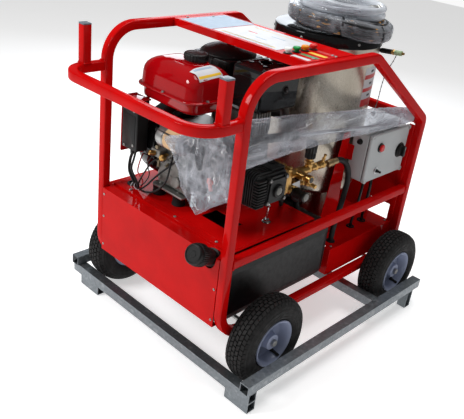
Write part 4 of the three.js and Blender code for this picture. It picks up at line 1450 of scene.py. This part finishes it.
def make_carburettor():
    """The carburettor, governor linkage and springs, between the starter and the block."""
    bm = bmesh.new()
    pad(bm, (-170, -112, 846), (-120, -60, 898), 8, 0, edge=3)
    turned(bm, [(0, 22), (20, 22), (24, 18), (34, 18), (36, 4)], (-145, -86, 846), -Z, 32, 0)
    for k in range(3):
        turned(bm, [(0, 4), (14, 4)], (-170, -100 + 14 * k, 870), -X, 12, 1)
    pad(bm, (-120, -362, 700), (-70, -352, 724), 4, 1, axis=1, edge=1)
    pad(bm, (-150, -384, 664), (-104, -350, 690), 4, 0, edge=1.5)
    turned(bm, [(0, 9), (5, 10), (22, 9), (24, 6)], (-128, -384, 676), Vector((-0.3, -1, 0.2)), 20, 2)
    hexagon(bm, (-110, -386, 706), -Y, 8, 8, 1)
    turned(bm, [(0, 12), (26, 12), (30, 8)], (-96, -356, 668), -Y, 24, 2)
    for x, z in ((-140, 640), (-92, 634), (-60, 690)):
        bolt(bm, (x, -352, z), -Y, 6, 1, shank=5)
    pad(bm, (-146, -356, 612), (-136, -350, 700), 2, 1, axis=1, edge=0.6)
    for start, end in (((-126, -372, 720), (-70, -358, 742)), ((-104, -372, 648), (-62, -360, 690))):
        start, end = Vector(start), Vector(end)
        u, v, w = basis(end - start)
        span = (end - start).length
        line = [start + w * span * k / 160 + 4.2 * (math.cos(0.62 * k) * u + math.sin(0.62 * k) * v)
                for k in range(161)]
        swept(bm, line, ring_of(0.8, 6), mat=3)
    piece("carburettor", bm, ["cast_alloy", "dull_zinc", "brass", "steel"])


def make_engine_wiring():
    """The loom from the key switch, starter and alternator down through the deck's grommet."""
    cable("loom_main", [(-240, -392, 640), (-244, -398, 610), (-232, -408, 575), (-205, -404, 535),
                        (-228, -386, 512), (-252, -372, 508), (-262, -368, 500)], 11)
    cable("loom_upper", [(-215, -396, 660), (-206, -412, 630), (-214, -414, 590), (-196, -404, 548),
                         (-192, -396, 524), (-214, -386, 510)], 8)
    cable("starter_cable", [(0, -376, 812), (16, -392, 800), (12, -396, 740), (-20, -380, 690),
                            (-60, -372, 650), (-110, -386, 596), (-150, -398, 545), (-190, -392, 516),
                            (-240, -374, 510), (-258, -366, 500)], 7)
    cable("ground_cable", [(-62, -357, 690), (-50, -378, 660), (-56, -388, 600), (-90, -394, 552),
                           (-140, -398, 524), (-196, -388, 511), (-240, -378, 509)], 7)
    cable("alternator_lead", [(-96, -372, 668), (-120, -398, 650), (-150, -402, 606), (-176, -404, 560),
                              (-194, -398, 530)], 6)
    cable("sensor_lead", [(-128, -374, 676), (-140, -402, 640), (-128, -404, 600), (-150, -402, 560),
                          (-176, -400, 536)], 4)
    cable("key_lead_red", [(-225, -352, 640), (-216, -376, 610), (-200, -396, 580), (-170, -398, 560),
                           (-176, -396, 532), (-200, -388, 514)], 5, "cable_red")
    cable("plug_lead", [(-56, 57, 772), (-56, 98, 786), (-64, 108, 806), (-90, 92, 830), (-130, 74, 840),
                        (-160, 40, 800), (-166, 0, 772), (-164, -30, 760)], 7)
    ties = bmesh.new()
    for at, axis, r in (((-194, -399, 527), (0.8, -0.3, 0.5), 13),
                        ((-224, -388, 514), (0.9, -0.4, 0.1), 14)):
        u, v, w = basis(axis)
        circle = [Vector(at) + a * u + b * v for a, b in ring_of(r, 24)]
        swept(ties, circle, rounded_rect(1.4, 4, 0.5, 2), normal=w, closed=True)
    piece("cable_ties", ties, "white_print")


make_fuel_tank()
make_air_cleaner()
make_muffler()
make_fan_housing()
make_engine_block()
make_starter()
make_switch_box()
make_carburettor()
make_engine_wiring()


# ---- pump ----

STAY = (225, -165)

def make_pump():
    """The three-piston pump: a finned crankcase, its bolted end cover, and the flange to the engine."""
    bm = bmesh.new()
    pad(bm, (182, -298, 610), (270, -152, 718), 16, axis=0, edge=4)
    for k in range(10):
        x = 174 + 9.4 * k
        sag = 6 - abs(k - 5) * 1.2
        pad(bm, (x, -304.5, 602 - sag / 2), (x + 4.6, -214, 724 + sag / 2), 22, axis=0, edge=1.2)
    for k in range(10):
        z = 611 + 10 * k
        reach = 5 - abs(k - 4.5)
        pad(bm, (256, -303 - reach * 0.3, z), (283 + reach, -261, z + 5), 5, edge=1.4)
    for k in range(12):
        y = -222 + 5.6 * k
        pad(bm, (188, y, 716), (262, y + 2.8, 727), 1.2, axis=1, edge=0.4)
    cover = [(-254, 622), (-248, 612), (-166, 612), (-158, 620), (-158, 698), (-166, 708), (-240, 708),
             (-250, 700)]
    plate(bm, cover, 0, 268, 279)
    inner = [(-246, 628), (-240, 622), (-172, 622), (-166, 630), (-166, 690), (-172, 698), (-234, 698),
             (-242, 692)]
    plate(bm, inner, 0, 279, 284)
    lugs = ((-248, 620), (-166, 620), (-166, 699), (-246, 700))
    for y, z in lugs:
        turned(bm, [(0, 11), (14, 10), (16, 8)], (270, y, z), X, 24)
    turned(bm, [(0, 24), (8, 23), (10, 21), (10, 16), (7, 15)], (282.5, -203, 655), X, 48)
    flange = [(98.3, 64), (106, 64), (108, 58), (150, 56), (172, 58), (186, 58)]
    turned(bm, flange, (0, *SHAFT), X, 72)
    for out, round_it in around(8):
        middle = Vector((140, *SHAFT)) + out * 57
        skin(bm, [[middle + X * s * 32 + round_it * t * 2.5 + out * rise for s, t in CORNERS]
                  for rise in (-3, 5)])
    piece("pump_casting", bm, "ribbed_black", "pump_crankcase", smooth=32)
    bits = bmesh.new()
    for y, z in lugs:
        button_screw(bits, (286, y, z), X, 5.4, 0)
    turned(bits, [(0, 14.6), (1.5, 13.4), (2.2, 8), (2.4, 0)], (289.6, -203, 655), X, 40, 1)
    turned(bits, [(0, 12), (3, 13), (11, 13), (13, 10)], (222, -180, 722), Z, 72, 2, flutes=18, depth=1)
    for out, _ in around(6, math.pi / 6):
        bolt(bits, Vector((106, *SHAFT)) + 66 * out, X, 5)
    piece("pump_fittings", bits, ["steel", "sight_glass", "black_plastic"])
    rod = bmesh.new()
    turned(rod, [(514, 5), (606, 5)], (*STAY, 0), Z, 24)
    hexagon(rod, (*STAY, 505), Z, 12, 9)
    turned(rod, [(500.3, 16), (503, 16), (505, 13)], (*STAY, 0), Z, 32)
    for z in (560, 590):
        hexagon(rod, (*STAY, z), Z, 9, 7)
    piece("pump_stay", rod, "chrome")


def union(bm, at, axis, *sizes):
    """A run of pipe fittings. Each size is (kind, radius, length), where kind is hex, round or barb."""
    spot = Vector(at)
    w = Vector(axis).normalized()
    for kind, radius, length in sizes:
        if kind == "hex":
            hexagon(bm, spot, w, radius, length)
        elif kind == "barb":
            steps = max(2, round(length / 6))
            profile = []
            for k in range(steps):
                profile += [(length * k / steps, radius * 0.82), (length * (k + 0.75) / steps, radius)]
            turned(bm, profile + [(length, radius * 0.8)], spot, w, 32)
        else:
            edge = min(1.2, length / 4)
            turned(bm, [(0, radius - edge), (edge, radius), (length - edge, radius),
                        (length, radius - edge)], spot, w, 40)
        spot += w * length


def make_manifold():
    """The pump's forged brass head, with its valves, unloader, gauge port and hose tails."""
    bm = bmesh.new()
    pad(bm, (190, -149.7, 600), (268, -136, 706), 10, axis=1, edge=2)
    pad(bm, (196, -137, 610), (262, -104, 700), 9, axis=1, edge=4)
    for x in (203, 229, 255):
        union(bm, (x, -122, 696), Z, ("round", 12, 8), ("hex", 11, 8))
        union(bm, (x, -112, 618), Y, ("round", 11, 10), ("hex", 10, 6))
    union(bm, (240, -106, 668), Y, ("round", 15.5, 42), ("round", 17, 30), ("round", 15, 34),
          ("hex", 16, 12))
    union(bm, (250, -62, 668), X, ("round", 15.5, 34), ("hex", 14.6, 8), ("round", 14.8, 18))
    turned(bm, [(0, 11), (1.6, 10)], (310, -62, 668), X, 32, 2)
    union(bm, (238, 9, 668), Z, ("round", 15, 22), ("hex", 17.5, 9), ("round", 13, 9))
    union(bm, (243, 14, 670), Y, ("round", 13, 20), ("hex", 15.5, 13), ("round", 12, 10),
          ("round", 14, 18), ("hex", 16.5, 13), ("round", 11.5, 8))
    union(bm, (246, 78, 680), Vector((0.25, 0, 1)), ("round", 6, 12), ("hex", 7, 5), ("round", 4.4, 12),
          ("round", 6, 4))
    union(bm, (236, -106, 622), Y, ("round", 13, 50), ("hex", 15, 10), ("round", 12, 26))
    union(bm, (236, -20, 622), Y, ("hex", 15.5, 14), ("round", 10, 6), ("barb", 9, 34))
    union(bm, (236, -6, 622), X, ("round", 11, 18), ("hex", 12, 10), ("barb", 8, 30))
    union(bm, (240, -62, 640), -Z, ("round", 13, 24))
    turned(bm, [(0, 12), (4, 13.4), (28, 13.4), (30, 12)], (248, 106, 667), Y, 48, 1)
    for k in range(4):
        turned(bm, [(0, 12), (0, 14.2), (3, 14.2), (3, 12), (0, 12)], (248, 111 + 7 * k, 667), Y, 40, 1)
    turned(bm, [(0, 11.5), (30, 11.5)], (248, 134, 667), Y, 40, 1)
    piece("manifold_brasswork", bm, ["brass", "gold_zinc", "dark_steel"], "pump_manifold")
    black = bmesh.new()
    turned(black, [(0, 18), (2, 19.4), (10, 19.4), (12, 17.5), (44, 17.5), (46, 19.4), (57, 19.4),
                   (59, 17)], (240.5, -62, 598), X, 96, 0, flutes=24, depth=0.7)
    turned(black, [(0, 14.5), (2.4, 13.4), (3, 9)], (299.3, -62, 598), X, 40, 1)
    turned(black, [(0, 17), (26, 17), (28, 15)], (237, -44, 652), Y, 40, 0)
    piece("inlet_filter", black, ["ribbed_black", "sight_glass"])
    sign = bmesh.new()
    plate(sign, [(-105, 645), (-55, 619), (-63, 650)], 0, 262.4, 264)
    piece("blank_triangle", sign, "white_print")
    knob = bmesh.new()
    profile = [(708.3, 17), (710, 19.5), (726, 19.5), (728, 18.4), (730, 20.4), (766, 20.4),
               (769.6, 19.4), (771.6, 17), (772.2, 12)]
    turned(knob, profile, (238, 9, 0), Z, 144, flutes=12, depth=2.4)
    piece("unloader_grip", knob, "ribbed_black", "unloader_knob", body="pressure_knob",
          smooth=45)


make_pump()
make_manifold()
cable("inlet_hose", [(180, 66, 458), (178, 52, 505), (196, 30, 532), (226, -8, 548), (240, -42, 566),
                     (241, -60, 588)], 24, "hose_rubber")
cable("bypass_hose", [(150, 110, 454), (140, 90, 490), (140, 50, 512), (158, 0, 516), (190, -50, 522),
                      (214, -84, 548), (216, -104, 590)], 14, "hose_rubber")
cable("fuel_line", [(-20, -100, 842), (-28, -98, 812), (-60, -96, 800), (-100, -98, 820),
                    (-120, -96, 846)], 8, "hose_rubber")


# ---- control box ----

FACE = 300
STOP, HEAT, TOGGLE = (366, 695), (518, 655), (367, 600)


def make_controls():
    """The control box with its cover, lugs and glands, stop button, heat selector and toggle."""
    dress("control_box", "grey_box", edge=2.5, flat=3)
    dress("control_cover", "grey_box", edge=2.0, flat=3)
    bm = bmesh.new()
    pad(bm, (284.6, 300, 563), (285.6, 562, 748), 5, axis=0)
    piece("cover_gasket", bm, "mount_rubber")
    lugs = bmesh.new()
    for y in (305, 557):
        for z in (567, 744):
            turned(lugs, [(-11, 9.4), (1.2, 9.4), (2.4, 8), (2.4, 5.6), (0.6, 5.4)],
                   (FACE, y, z), X, 32, 0)
            turned(lugs, [(0.6, 4.6), (1.6, 4.2)], (FACE, y, z), X, 32, 1)
    piece("cover_lugs", lugs, ["grey_box", "steel"])
    bezels = bmesh.new()
    turned(bezels, [(0, 15.2), (0, 18.4), (4, 18), (6, 16.6), (6, 15.2), (0, 15.2)], (FACE, *STOP), X, 48,
           0)
    turned(bezels, [(0, 27), (0, 31), (1.6, 30.4), (1.6, 27), (0, 27)], (FACE, *HEAT), X, 64, 0)
    turned(bezels, [(0, 8.6), (0, 14), (2.4, 13.4), (2.4, 8.6), (0, 8.6)], (FACE, *TOGGLE), X, 32, 1)
    turned(bezels, [(0, 11), (4, 11), (5, 9), (10, 9), (11, 7), (14, 7)], (250, 298, 716), -Y, 24, 0)
    for y in (383, 440):
        turned(bezels, [(0, 13), (6, 13), (8, 9), (16, 8)], (250, y, 560), -Z, 24, 0)
    piece("switch_bezels", bezels, ["ribbed_black", "chrome"])
    stop = bmesh.new()
    cap = [(-3, 12), (8.3, 12), (8.6, 14.5), (11, 14.5), (12.2, 13.4), (13, 10), (13.2, 0)]
    turned(stop, cap, (FACE, *STOP), X, 64)
    piece("stop_cap", stop, "button_red", "stop_button", body="stop_push_button")
    knob = bmesh.new()
    profile = [(0.4, 25), (2, 26), (5, 26), (7, 23), (13, 22), (15, 20), (15.5, 0)]
    turned(knob, profile, (FACE, *HEAT), X, 120, 0, flutes=20, depth=1.0)
    pad(knob, (FACE + 14, 512, 633), (FACE + 26, 524, 677), 5, 0, axis=0, edge=1.4)
    pad(knob, (FACE + 25.6, 517, 662), (FACE + 26.1, 519, 675), 0.8, 1, axis=0)
    piece("heat_knob", knob, ["ribbed_black", "white_print"], "selector_knob",
          body="heat_selector")
    boot = bmesh.new()
    profile = [(-6, 3), (2.4, 4.4), (3, 7.6), (6, 7.8), (9, 5.6), (11, 5.9), (14, 4.2), (18, 3.8),
               (23, 4.8), (24.6, 3.4)]
    turned(boot, profile, (FACE, *TOGGLE), X, 32)
    piece("toggle_boot", boot, "mount_rubber", "toggle_switch", body="burner_toggle")


make_controls()
cable("control_cable_front", [(250, 383, 544), (250, 384, 500), (243, 387, 420), (236, 384, 360),
                              (234, 383, 318)], 11)
cable("control_cable_rear", [(250, 440, 544), (250, 444, 500), (240, 458, 420), (231, 468, 360),
                             (229, 470, 318)], 13)


# ---- trigger gun and lance, in their clear bag ----

GUN_Y = -411
LANCE_START = Vector((283, -402, 868))
LANCE_AXIS = Vector((0, 0.9931, -0.1172)).normalized()


def make_gun():
    """The spray gun with its lance: two moulded halves, ribbed grip, trigger, latch and couplings."""
    bm = bmesh.new()
    receiver = [(288, 846), (288, 884), (262, 888), (150, 872), (118, 858), (104, 838), (84, 722),
                (80, 700), (92, 634), (122, 636), (132, 700), (142, 790), (156, 816), (196, 838)]
    plate(bm, receiver, 1, GUN_Y - 14, GUN_Y + 14)
    for k in range(9):
        z = 652 + 15 * k
        x = 88 + 3.2 * k if k > 2 else 92
        for y in (-426.6, -397.2):
            pad(bm, (x + 6, y, z), (x + 34, y + 1.8, z + 7), 2.5, axis=1, edge=0.6)
    pad(bm, (206, -427.4, 852), (270, -424.8, 876), 6, axis=1, edge=0.8)
    guard = fillet([(x, GUN_Y, z) for x, z in ((236, 846), (226, 720), (196, 664), (112, 650))],
                   [0, 30, 30, 0])
    swept(bm, guard, rounded_rect(16, 5, 2, 2), normal=Y)
    piece("gun_body", bm, "gun_plastic", "spray_gun", bevel=3.0)
    metalwork = bmesh.new()
    union(metalwork, (105, GUN_Y, 637), Vector((0.1, 0, -1)).normalized(),
          ("round", 9, 12), ("hex", 12, 16), ("round", 10, 12), ("round", 11.5, 16))
    for x, z in ((274, 866), (168, 850), (104, 690), (110, 820)):
        button_screw(metalwork, (x, -425, z), -Y, 4)
    union(metalwork, LANCE_START + LANCE_AXIS * 872, LANCE_AXIS, ("hex", 10, 12), ("round", 11.5, 14),
          ("round", 9, 6))
    path = [LANCE_START + LANCE_AXIS * d for d in (-10, 300, 600, 880)]
    swept(metalwork, path, ring_of(7, 24))
    hexagon(metalwork, LANCE_START - LANCE_AXIS * 8, LANCE_AXIS, 14, 16)
    piece("gun_metalwork", metalwork, "chrome")
    sleeve = bmesh.new()
    profile = [(12, 12), (15, 14)]
    for k in range(16):
        profile += [(20 + 14 * k, 14), (22 + 14 * k, 12.6), (28 + 14 * k, 12.6), (30 + 14 * k, 14)]
    turned(sleeve, profile + [(256, 14), (260, 11)], LANCE_START, LANCE_AXIS, 32)
    piece("lance_sleeve", sleeve, "ribbed_black")
    trigger = bmesh.new()
    outline = [(200, 822), (190, 824), (174, 806), (163, 784), (160, 742), (168, 744), (172, 778),
               (182, 800)]
    plate(trigger, outline, 1, GUN_Y - 8, GUN_Y + 8)
    piece("trigger_blade", trigger, "gun_plastic", "gun_trigger", body="lance_trigger",
          bevel=1.6)
    latch = bmesh.new()
    plate(latch, [(176, 712), (184, 716), (196, 684), (200, 676), (190, 674), (186, 686)], 1, -428.5,
          -420)
    pad(latch, (168, -420.5, 690), (190, -412, 704), 3, axis=1, edge=0.8)
    piece("safety_latch", latch, "trigger_orange", bevel=1.2)


def between(table, at):
    """Straight-line reading of a table of (place, value) pairs."""
    if at <= table[0][0]:
        return table[0][1]
    for (a, low), (b, high) in zip(table, table[1:]):
        if at <= b:
            return low + (high - low) * (at - a) / (b - a)
    return table[-1][1]


# The bag's two faces, and then its top, foot and depth along each: the front by x, the side by y.
BAG_FRONT, BAG_SIDE, BAG_CORNER = -448, 299.5, 22
FRONT_TOP = ((-12, 792), (20, 805), (80, 826), (146, 846), (286, 908), (300, 936))
FRONT_LOW = ((-12, 776), (26, 749), (60, 700), (77, 635), (111, 596), (139, 564), (198, 616), (259, 660),
             (300, 692))
SIDE_TOP = ((-448, 936), (-401, 933), (-290, 922), (-169, 912), (20, 890), (236, 866), (486, 835),
            (586, 822))
SIDE_LOW = ((-448, 692), (-425, 722), (-390, 770), (-283, 778), (-137, 783), (55, 776), (240, 768),
            (411, 759), (586, 764))
FRONT_DEPTH = ((-12, 2), (52, 3), (84, 34), (110, 56), (300, 58))
SIDE_DEPTH = ((-448, 58), (-400, 40), (-300, 31), (400, 27), (500, 14), (586, 3))


def bag_stations():
    """The bag's outer face from above: each station's place, outward direction and distance along."""
    corner = Vector((BAG_SIDE - BAG_CORNER, BAG_FRONT + BAG_CORNER))
    line = [(Vector((x, BAG_FRONT)), Vector((0, -1))) for x in range(-12, round(corner.x), 4)]
    for k in range(9):
        a = math.pi / 2 * k / 8
        out = Vector((math.sin(a), -math.cos(a)))
        line.append((corner + out * BAG_CORNER, out))
    line += [(Vector((BAG_SIDE, y)), Vector((1, 0))) for y in range(round(corner.y) + 4, 587, 6)]
    travelled, stations = 0.0, []
    for i, (place, out) in enumerate(line):
        if i:
            travelled += (place - line[i - 1][0]).length
        stations.append((place, out, travelled))
    return stations


def crumple(s, t, seed):
    """Film folds in millimetres: long creases that run with the bag, and small crinkles across them."""
    long_folds = 1 - abs(noise.noise(Vector((s * 0.007, t * 0.034, seed)))) * 2.4
    cross = 1 - abs(noise.noise(Vector((s * 0.026, t * 0.02 + s * 0.012, seed + 9)))) * 2.2
    fine = noise.noise(Vector((s * 0.07, t * 0.07, seed + 4)))
    return 4.2 * long_folds + 3.2 * cross + 1.5 * fine - 4.5


def make_bag():
    """A polythene sleeve over the gun and lance: pinched at its edges, crumpled, open at its rear end."""
    bm = bmesh.new()
    around = 64
    rings = []
    for place, out, s in bag_stations():
        front = place.y < BAG_FRONT + 1
        top = between(FRONT_TOP, place.x) if front else between(SIDE_TOP, place.y)
        low = between(FRONT_LOW, place.x) if front else between(SIDE_LOW, place.y)
        depth = between(FRONT_DEPTH, place.x) if front else between(SIDE_DEPTH, place.y)
        middle, half = (top + low) / 2, (top - low) / 2
        edge = 2.5 * noise.noise(Vector((s * 0.03, 3.3, 1.1)))
        ring = []
        for k in range(around):
            a = math.tau * k / around
            rise, across = math.cos(a), math.sin(a)
            z = middle + math.copysign(abs(rise) ** 0.85, rise) * (half + edge)
            share = 1 - math.copysign(abs(across) ** 0.7, across)
            inward = depth / 2 * share
            soft = min(1.0, abs(across) * 1.6) * min(1.0, depth / 22)
            fold = crumple(s, z, 0.0 if across > 0 else 30.0) * soft
            inward += max(-2.5, -fold if across > 0 else fold)
            ring.append(Vector((place.x - out.x * inward, place.y - out.y * inward, z)))
        rings.append(ring)
    skin(bm, rings, caps=False)
    bag = piece("lance_bag_film", bm, "bag_film", "lance_bag", smooth=180)
    thicken(bag, 0.3)


make_gun()
make_bag()
